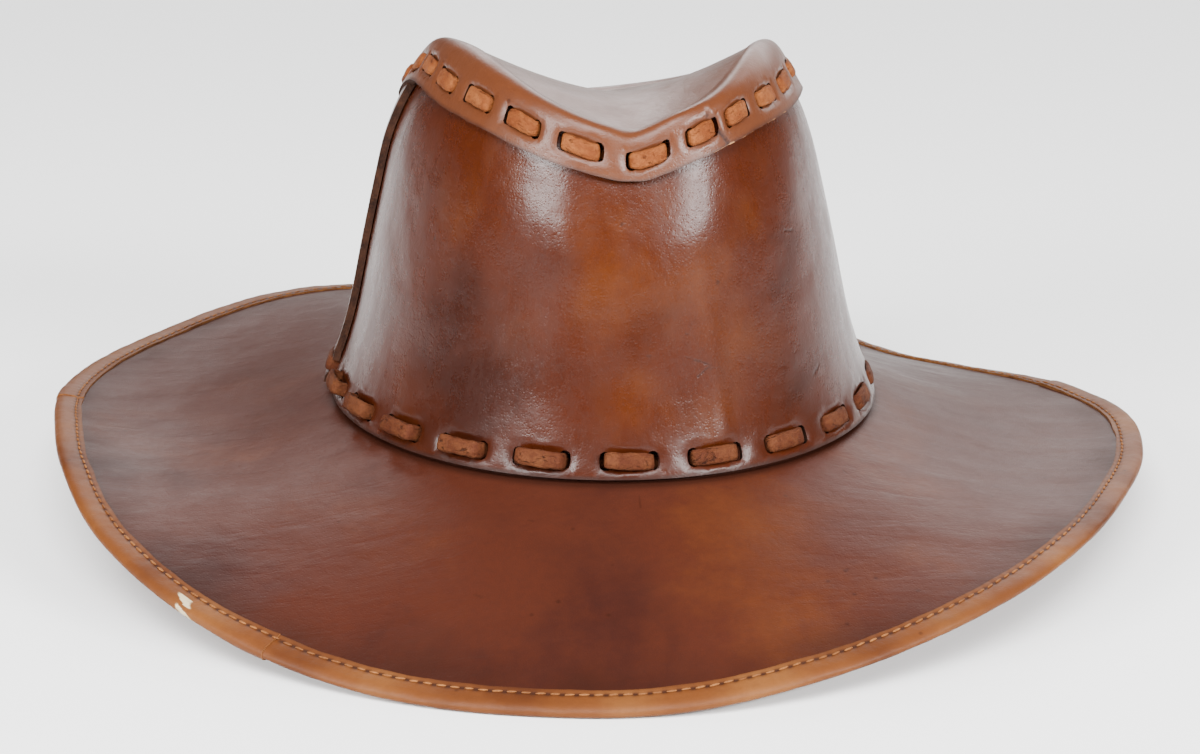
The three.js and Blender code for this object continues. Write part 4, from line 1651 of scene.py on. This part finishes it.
@dataclass
class Brim:
    """The brim and its collar inside the crown wall."""

    form: HatForm
    mark: StitchPrint
    collar_tall: float = 17.0
    swell: float = 0.7
    swell_size: float = 55.0
    edge_dark: float = 0.34
    edge_dark_wide: float = 15.0
    # Painted shade where the brim runs under the crown wall, on its face and on its bend.
    joint_shade: float = 0.75
    bend_shade: float = 0.9

    def spot(self, column: float, row: float) -> Spot:
        """Return a point of the brim's upper face: margin, brim, bend, then the collar.

        Args:
            column: The column.
            row: The row, where each whole number starts a band.

        Returns:
            The point.
        """
        f = self.form
        turn = f.turn_of(column, 0.0)
        if row <= 2:
            margin = f.margin_share(turn)
            share = blend(1, margin, row) if row <= 1 else blend(margin, 0, row - 1)
            at = f.brim_top(turn, share)
            free = smooth(1.0, 1.3, row) * (1 - smooth(1.8, 2.0, row))
            at.z += self.swell * free * wave(at, self.swell_size, 1.7)
            inwards = (f.brim_top(turn, margin) - at).length if row > 1 else 0.0
            edge = self.edge_dark * (1 - smooth(1.0, self.edge_dark_wide, inwards))
            edge *= 1 + 0.9 * wave(at, 16, 5.2)
            # Painted shade on the last of the brim under the crown wall's bottom edge; elsewhere a
            # darker band inside the binding.
            return Spot(at, max(self.joint_shade * smooth(1.96, 1.99, row), clamp(edge)))
        if row <= 3:
            angle = (row - 2) * math.pi / 2
            out = f.collar_out + f.corner * (1 - math.sin(angle))
            rise = f.corner * (1 - math.cos(angle))
            # The bend under the wall is painted in shade.
            return Spot(f.crown_point(turn, f.base_height(turn) + rise, out), self.bend_shade)
        lace = f.base_lace_rise
        levels = (f.corner, lace - f.slot_half_tall, lace + f.slot_half_tall, self.collar_tall)
        above = between(levels, row - 3) - lace
        column, above = self.mark.warp(column, above, Lace.BASE, f.slot_half_tall)
        turn = f.turn_of(column, 0.0)
        press = min(self.mark.press(column, above, Lace.BASE), 0.0)
        z = f.base_height(turn) + lace + above
        return Spot(f.crown_point(turn, z, f.collar_out + press))

    def is_hole(self, column: float, row: float) -> bool:
        """Tell whether a face is inside a slot."""
        return math.floor(column) % 2 == 0 and int(row) == 4

    def build(self) -> bpy.types.Object:
        """Make the brim.

        Returns:
            The brim's object.
        """
        columns = round_columns(0, self.form.cells)
        rows = ladder([(5, 0), (36, 0.08), (3, 0), (2, 0), (7, 0), (4, 0)])
        sheet = Sheet("brim_leather_sheet", self.form, columns, rows, self.spot, self.is_hole, True)
        piece = sheet.piece("brim_leather", "brim", self.form.hide)
        face = BRIM_FACE.make(self.form.on_brim)
        return piece.dress(face, BRIM_FLESH.make(), CUT_EDGE.make()).report()


@dataclass
class LaceStrip:
    """A suede lace in and out through the slots, its two ends inside at the back."""

    form: HatForm
    mark: StitchPrint
    lace: Lace
    half_wide: float = 2.6
    half_thick: float = 0.9
    bend: float = 1.5
    bulge: float = 0.3
    clear: float = 0.10
    top_inside: float = 0.9
    base_inside: float = 0.6
    slant: float = 0.10
    shift: float = 0.3
    slant_full: float = 7.5
    slant_end: float = 12.0
    wide_power: float = 0.62
    thick_power: float = 0.75
    back_stitch: int = 10
    end_share: float = 0.42
    ring: int = 14

    def levels(self, turn: float) -> tuple[float, float]:
        """Return how far the lace's middle stands out, outside and inside.

        Args:
            turn: The turn.

        Returns:
            Both distances.
        """
        f = self.form
        if self.lace is Lace.TOP:
            outside, inside = f.skirt_face(turn), -f.hide - self.top_inside
        else:
            outside, inside = f.wall_out(turn % 360), f.collar_out - f.hide - self.base_inside
        outside += self.clear + self.half_thick - self.mark.sunk
        return outside, inside - self.half_thick

    def slanted(self, column: float) -> float:
        """Return how far the lace stands above its line at a column, as each stitch slants.

        Args:
            column: The column.

        Returns:
            The rise in millimetres.
        """
        along = self.mark.along(column, self.lace)
        stitch = math.floor((column - self.lace.value + 2) / 4)
        at = Vector((3.37 * stitch, 0.0, 0.0))
        fade = 1 - smooth(self.slant_full, self.slant_end, abs(along))
        return fade * (self.slant * along * wave(at, 1.0, 2.3) + self.shift * wave(at, 1.0, 6.1))

    def path(self) -> list[tuple[float, float, float]]:
        """Trace the lace's middle.

        Returns:
            For each section its column, its out, and 1 in the middle of a stitch that shows.
        """
        f = self.form
        lean = 1.0 if self.lace is Lace.TOP else 0.0
        first = 4 * self.back_stitch + (2 if self.lace is Lace.TOP else 0)
        middles = [first + 2 * i + 0.5 for i in range(f.cells // 2)]
        points = [(blend(middles[0], middles[0] - 2, self.end_share),
                   self.levels(f.turn_of(middles[0], lean))[1], 0.0)]
        cell = 2 * self.mark.half_stitch + self.mark.slot
        for i, middle in enumerate(middles):
            outside, inside = self.levels(f.turn_of(middle, lean))
            start, end = (inside, outside) if i % 2 == 0 else (outside, inside)
            way = math.copysign(1.0, end - start)
            quarter = [k / 3 * math.pi / 2 for k in range(4)]
            for angle in quarter:
                back = self.bend * (1 - math.sin(angle)) / cell * 2
                points.append((middle - back, start + way * self.bend * (1 - math.cos(angle)), 0.0))
            for angle in quarter:
                on = self.bend * (1 - math.cos(angle)) / cell * 2
                points.append((middle + on, end - way * self.bend * (1 - math.sin(angle)), 0.0))
            if i + 1 < len(middles):
                reach = self.bend / cell * 2
                steps = 8 if i % 2 == 0 else 4
                following = self.levels(f.turn_of(middles[i + 1], lean))[0 if i % 2 == 0 else 1]
                for k in range(1, steps):
                    t = k / steps
                    hump = 1 - (2 * t - 1) ** 2 if i % 2 == 0 else 0.0
                    column = blend(middle + reach, middles[i + 1] - reach, t)
                    points.append((column, blend(end, following, t) + self.bulge * hump, hump))
        points.append((blend(middles[-1], middles[-1] + 2, self.end_share), points[-1][1], 0.0))
        return points

    def build(self) -> bpy.types.Object:
        """Make the lace as a tube of rings along its path.

        Returns:
            The lace's object.
        """
        f = self.form
        lean = 1.0 if self.lace is Lace.TOP else 0.0
        places, ups = [], []
        path = self.path()
        for column, out, _ in path:
            turn = f.turn_of(column, lean)
            z = f.lace_height(self.lace, turn) + self.slanted(column)
            places.append(f.crown_point(turn, z, out))
            ups.append(f.crown_frame(turn, z).up)
        humps = [hump for _, _, hump in path]
        count = len(places) - 1
        bm = bmesh.new()
        bmesh.ops.create_grid(bm, x_segments=count, y_segments=self.ring, size=0.5)
        travelled = lengths_along(places)
        surface = bm.loops.layers.uv.new("Surface")
        for face in bm.faces:
            for loop in face.loops:
                along = travelled[round((loop.vert.co.x + 0.5) * count)]
                loop[surface].uv = (along * MM, (loop.vert.co.y + 0.5) * 4 * self.half_wide * MM)
        for vert in bm.verts:
            i = round((vert.co.x + 0.5) * count)
            around = 2 * math.pi * (vert.co.y + 0.5)
            ahead = (places[min(i + 1, count)] - places[max(i - 1, 0)]).normalized()
            wide = (ups[i] - ahead * ups[i].dot(ahead)).normalized()
            thick = ahead.cross(wide)
            c, s = math.cos(around), math.sin(around)
            flat_c = math.copysign(abs(c) ** self.wide_power, c)
            flat_s = math.copysign(abs(s) ** self.thick_power, s)
            taper = 0.95 + 0.05 * humps[i] ** 0.5
            ragged = 1 + 0.16 * wave(places[i] + wide * 9 * c, 2.6, 5.0)
            at = places[i] + wide * (self.half_wide * taper * ragged * flat_c)
            at += thick * (self.half_thick * flat_s)
            vert.co = f.place(at + thick * (0.24 * s * wave(at, 2.0, 9.0)))
        bmesh.ops.remove_doubles(bm, verts=bm.verts, dist=WELD)
        ends = [edge for edge in bm.edges if edge.is_boundary]
        bmesh.ops.holes_fill(bm, edges=ends, sides=0)
        bmesh.ops.recalc_face_normals(bm, faces=bm.faces)
        node = "lace_top" if self.lace is Lace.TOP else "lace_base"
        piece = Piece(bm, f"{node}_suede", "lace_leather", [node])
        face = TOP_LACE_FACE if self.lace is Lace.TOP else BASE_LACE_FACE
        return piece.dress(face.make()).report()


@dataclass(eq=False)
class Binding:
    """Three thin strips folded over the brim's edge, each end lapping the next strip's start."""

    form: HatForm
    stitch_pitch: float = 4.0
    stitch_inset: float = 1.8
    thick: float = 0.8
    bevel: float = 0.22
    top_rise: float = 0.72
    under_rise: float = 0.62
    groove: float = 0.24
    pucker: float = 0.05
    step: float = 0.8
    nose: float = 1.7
    nose_from: float = -1.6
    lap_lift: float = 0.42
    lap_turn: float = 7.0
    lap_full_turn: float = 1.5
    thread_long: float = 1.50
    thread_wide: float = 0.38
    thread_tall: float = 0.30
    thread_rise: float = 0.14
    thread_sink: float = 0.30
    chip_turn: float = -48.1
    joint_left: float = 260.0
    joint_front: float = 322.0
    joint_right: float = 105.0

    @functools.cached_property
    def lengths(self) -> list[float]:
        """Return the length along the stitch line before each degree from 0 to 360."""
        line = [self.flange_point(turn, self.stitch_inset, 0.0) for turn in range(361)]
        return lengths_along(line)

    @functools.cached_property
    def pitch(self) -> float:
        """Return the stitches' true spacing, a whole number of which goes round the hat."""
        return self.lengths[-1] / round(self.lengths[-1] / self.stitch_pitch)

    def length_at(self, turn: float) -> float:
        """Return the length along the stitch line before a turn.

        Args:
            turn: The turn.

        Returns:
            The length.
        """
        laps, part = divmod(turn, 360)
        whole = min(int(part), 359)
        within = blend(self.lengths[whole], self.lengths[whole + 1], part - whole)
        return laps * self.lengths[-1] + within

    def turn_at(self, length: float) -> float:
        """Return the turn at a length along the stitch line.

        Args:
            length: The length.

        Returns:
            The turn.
        """
        laps, rest = divmod(length, self.lengths[-1])
        whole = clamp(bisect.bisect_left(self.lengths, rest) - 1, 0, 359)
        a, b = self.lengths[int(whole)], self.lengths[int(whole) + 1]
        return 360 * laps + whole + (rest - a) / (b - a)

    def flange_point(self, turn: float, inset: float, rise: float, under: bool = False) -> Vector:
        """Return a point over or under the brim, measured from the binding's inner edge.

        Args:
            turn: The turn.
            inset: Distance outwards from the binding's inner edge.
            rise: Height over the flange's face.
            under: Whether the point is on the underside.

        Returns:
            The point.
        """
        f = self.form
        edge, along, square = f.edge_frame(turn)
        up = self.top_rise + rise
        if under:
            up = -f.hide - self.under_rise - rise
        return edge + along * (inset - f.binding_wide) + square * up

    def section(self) -> list[tuple[float, float]]:
        """Return the outer line of the folded strip, as past the edge and up, from top to bottom.

        Returns:
            The line's points.
        """
        f = self.form
        top, bottom = self.top_rise, -self.form.hide - self.under_rise
        middle, half = (top + bottom) / 2, (top - bottom) / 2
        insets = (0.0, 0.5, 0.95, 1.4, 1.8, 2.2, 2.65, 3.2, 3.8, 4.4, 5.0)
        flange = [inset - f.binding_wide for inset in insets]
        line = [(past, top) for past in flange]
        for i in range(13):
            angle = math.pi / 2 - i * math.pi / 12
            past = self.nose_from + (self.nose - self.nose_from) * math.cos(angle)
            line.append((past, middle + half * math.sin(angle)))
        return line + [(past, bottom) for past in reversed(flange)]

    def relief(self, length: float, inset: float, near: Vector) -> float:
        """Return how far a flange's face stands up from flat.

        Args:
            length: Length along the stitch line.
            inset: Distance outwards from the strip's inner edge.
            near: A point nearby, for its soft swell.

        Returns:
            The rise in millimetres.
        """
        off = inset - self.stitch_inset
        puff = -math.cos(2 * math.pi * length / self.pitch)
        soft = 0.18 * wave(near, 13, 8.0) + 0.14 * wave(near, 4.5, 2.0) * smooth(2.5, 4.0, inset)
        return soft + self.pucker * puff * bell(off, 2.2) - self.groove * bell(off, 0.9)

    def strip(self, name: str, from_turn: float, to_turn: float) -> bpy.types.Object:
        """Make one strip.

        Args:
            name: The CAD node that it replaces.
            from_turn: Where it starts, under its neighbour's end.
            to_turn: Where its own end shows.

        Returns:
            The piece.
        """
        f = self.form
        start, end = from_turn - self.lap_turn, to_turn
        count = round((self.length_at(end) - self.length_at(start)) / self.step)
        line = self.section()
        middle = (self.top_rise - f.hide - self.under_rise) / 2
        run = [0.0]
        for here, there in itertools.pairwise(line):
            run.append(run[-1] + math.dist(here, there))

        def row_down(row: float) -> float:
            """Return the distance from the upper inner edge, over the strip's own face."""
            return run[len(line) - 1 - round(row)]

        def spot(column: float, row: float) -> Spot:
            """Return a point of the strip's outer face.

            Args:
                column: How many steps along the strip it is.
                row: How many points up its section it is, from the underside.

            Returns:
                The point.
            """
            length = blend(self.length_at(start), self.length_at(end), column / count)
            turn = self.turn_at(length)
            past, up = line[len(line) - 1 - round(row)]
            lift = self.lap_lift * smooth(end - self.lap_turn, end - self.lap_full_turn, turn)
            edge, along, square = f.edge_frame(turn)
            inset = past + f.binding_wide
            ragged = 0.35 * wave(edge + square * up, 9, 4.0) if inset < 0.5 else 0.0
            rise = self.relief(length, inset, edge + along * past)
            if up < middle:
                rise = min(rise, 0.0)
            past_lift = 0.6 * lift if past >= 0 else 0.0
            share = clamp((up - middle) / self.top_rise, -1, 1)
            up += (lift + rise) * share
            at = edge + along * (past + past_lift + ragged) + square * up
            # Painted shade in the groove of the stitch line and in each stitch hole, and a painted
            # shadow along the strip's inner edge.
            stitch_line_shade = bell(inset - self.stitch_inset, 0.75)
            stitch_hole_shade = 0.5 + 0.5 * math.cos(2 * math.pi * length / self.pitch)
            dark = stitch_line_shade * (0.22 + 1.1 * stitch_hole_shade ** 2) + 0.5 * bell(inset, 0.5)
            from_chip = centred(turn - self.chip_turn)
            down = row_down(row)
            chip = bell(from_chip - 0.30 * (down - 5.0), 1.25)
            chip *= smooth(3.9, 4.5, down) * (1 - smooth(11.2, 12.0, down))
            chip *= 1 - bell(down - 7.0 - 0.9 * from_chip, 0.7)
            chip *= 0.85 + 0.6 * wave(edge + along * past, 2.5, 6.0)
            return Spot(at, min(dark, 1.0), 1.4 * chip)

        columns = [float(i) for i in range(count + 1)]
        rows = [float(i) for i in range(len(line))]
        sheet = Sheet(f"{name}_leather", f, columns, rows, spot)
        piece = sheet.piece("binding_leather", name, self.thick, self.bevel)
        edge = BINDING_EDGE.make()
        return piece.dress(BINDING_FACE.make(f.on_brim), edge, edge).report()

    def stitch_row(self, name: str, under: bool) -> bpy.types.Object:
        """Sew one row of stitches along the binding's inner edge.

        Args:
            name: The piece's name.
            under: Whether the row is on the underside.

        Returns:
            The piece.
        """
        f = self.form
        dice = random.Random(11 if under else 5)
        count = round(self.lengths[-1] / self.pitch)
        bm = bmesh.new()
        for i in range(count):
            length = (i + 0.5) * self.pitch
            turn = self.turn_at(length)
            inset = self.stitch_inset + dice.uniform(-0.12, 0.12)
            edge, outwards, _ = f.edge_frame(turn)
            rise = self.relief(length, inset, edge + outwards * (inset - f.binding_wide))
            rise = min(rise, 0.0) - self.thread_sink if under else rise + self.thread_rise
            at = self.flange_point(turn, inset, rise + self.lift_at(turn), under)
            ahead = self.flange_point(turn + 0.3, inset, 0.0, under)
            ahead = (ahead - self.flange_point(turn - 0.3, inset, 0.0, under)).normalized()
            square = f.edge_frame(turn)[2]
            aside = square.cross(ahead).normalized()
            ahead = (ahead + aside * dice.uniform(0.02, 0.14)).normalized()
            aside = square.cross(ahead).normalized()
            axes = Matrix((ahead, aside, square)).transposed().to_4x4()
            long = self.thread_long + dice.uniform(-0.25, 0.1)
            size = Matrix.Diagonal((long, self.thread_wide, self.thread_tall, 1.0))
            place = Matrix.Translation(f.place(at)) @ axes @ size @ Matrix.Scale(MM, 4)
            place = place @ Matrix.Rotation(math.pi / 2, 4, "Y")
            bmesh.ops.create_uvsphere(bm, u_segments=8, v_segments=5, radius=1.0, matrix=place)
        bmesh.ops.recalc_face_normals(bm, faces=bm.faces)
        return Piece(bm, name, "binding_leather").dress(SEWING.make()).report()

    def lift_at(self, turn: float) -> float:
        """Return how far the strip that shows is lifted over its neighbour at a turn.

        Args:
            turn: The turn.

        Returns:
            The lift in millimetres.
        """
        for joint in (self.joint_left, self.joint_front, self.joint_right):
            past = centred(turn - joint)
            if -self.lap_turn < past < 0:
                return self.lap_lift * smooth(-self.lap_turn, -self.lap_full_turn, past)
        return 0.0

    def build(self) -> None:
        """Make the strips and both rows of stitches."""
        left, front, right = self.joint_left, self.joint_front, self.joint_right
        self.strip("binding_left", left - 360, front - 360)
        self.strip("binding_front", front - 360, right)
        self.strip("binding_back", right, left)
        self.stitch_row("binding_stitches_top", under=False)
        self.stitch_row("binding_stitches_under", under=True)


# The stage

@dataclass
class SoftBox:
    """A soft rectangular lamp that looks at the hat."""

    name: str
    at: tuple[float, float, float]
    size: tuple[float, float]
    power: float
    aim: tuple[float, float, float] = (0.0, 0.0, 0.08)
    colour: Colour = (1.0, 1.0, 1.0)

    def build(self) -> None:
        """Hang the lamp."""
        lamp = bpy.data.lights.new(self.name, "AREA")
        lamp.shape = "RECTANGLE"
        lamp.size, lamp.size_y = self.size
        lamp.energy = self.power
        lamp.color = self.colour
        holder = new_object(self.name, lamp)
        holder.location = self.at
        away = Vector(self.at) - Vector(self.aim)
        holder.rotation_euler = away.to_track_quat("Z", "Y").to_euler()


@dataclass
class Studio:
    """A pale floor, soft light and the camera at the photograph's angle."""

    distance: float = 1.0
    elevation: float = 18.0
    azimuth: float = -8.0
    target: tuple[float, float, float] = (0.0, 0.0, 0.036)
    focal_pixels: float = 3050.0
    image_wide: float = 1200.0
    sensor: float = 36.0
    floor_half: float = 4.0
    floor_colour: Colour = (0.93, 0.93, 0.93)
    room_light: float = 0.16

    def camera(self) -> None:
        """Set up the camera."""
        lift, turn = math.radians(self.elevation), math.radians(self.azimuth)
        away = Vector((math.sin(turn) * math.cos(lift), -math.cos(turn) * math.cos(lift),
                       math.sin(lift)))
        data = bpy.data.cameras.new("Camera")
        data.sensor_width = self.sensor
        data.lens = self.sensor * self.focal_pixels / self.image_wide
        camera = new_object("Camera", data)
        camera.location = Vector(self.target) + away * self.distance
        camera.rotation_euler = away.to_track_quat("Z", "Y").to_euler()
        bpy.context.scene.camera = camera

    def floor(self) -> None:
        """Lay the floor."""
        bm = bmesh.new()
        bmesh.ops.create_grid(bm, x_segments=1, y_segments=1, size=self.floor_half)
        floor = new_object("floor", new_mesh(bm, "floor"))
        s = Shader("floor_paper")
        paper = s.finish(self.floor_colour, 0.9, Specular_IOR_Level=0.1)
        floor.data.materials.append(paper)

    def light(self) -> None:
        """Hang the lamps and light the room."""
        world = bpy.data.worlds.new("room")
        world.use_nodes = True
        background = world.node_tree.nodes["Background"]
        background.inputs["Color"].default_value = (1.0, 1.0, 1.0, 1.0)
        background.inputs["Strength"].default_value = self.room_light
        bpy.context.scene.world = world
        for box in (
            SoftBox("key", (-0.35, -1.35, 1.55), (1.5, 0.9), 104.0),
            SoftBox("back_wall", (1.24, 2.44, 1.6), (3.1, 2.4), 98.0),
            SoftBox("back_left", (-0.35, 2.3, 1.7), (0.9, 1.2), 14.0),
            SoftBox("window_left", (-1.40, -0.98, 0.78), (0.95, 0.30), 54.0),
            SoftBox("window_right", (1.03, -1.37, 0.80), (0.85, 0.30), 69.0),
        ):
            box.build()

    def build(self) -> None:
        """Set up the whole stage."""
        self.camera()
        self.floor()
        self.light()


def main() -> None:
    """Build the stage and the hat."""
    logging.basicConfig(level=logging.INFO, format="%(message)s")
    Studio().build()
    form, mark = HatForm(), StitchPrint()
    Brim(form, mark).build()
    CrownWall(form, mark).build()
    CrownTip(form, mark).build()
    LaceStrip(form, mark, Lace.BASE).build()
    LaceStrip(form, mark, Lace.TOP).build()
    Binding(form).build()
    bpy.context.view_layer.update()


if __name__ == "__main__":
    main()
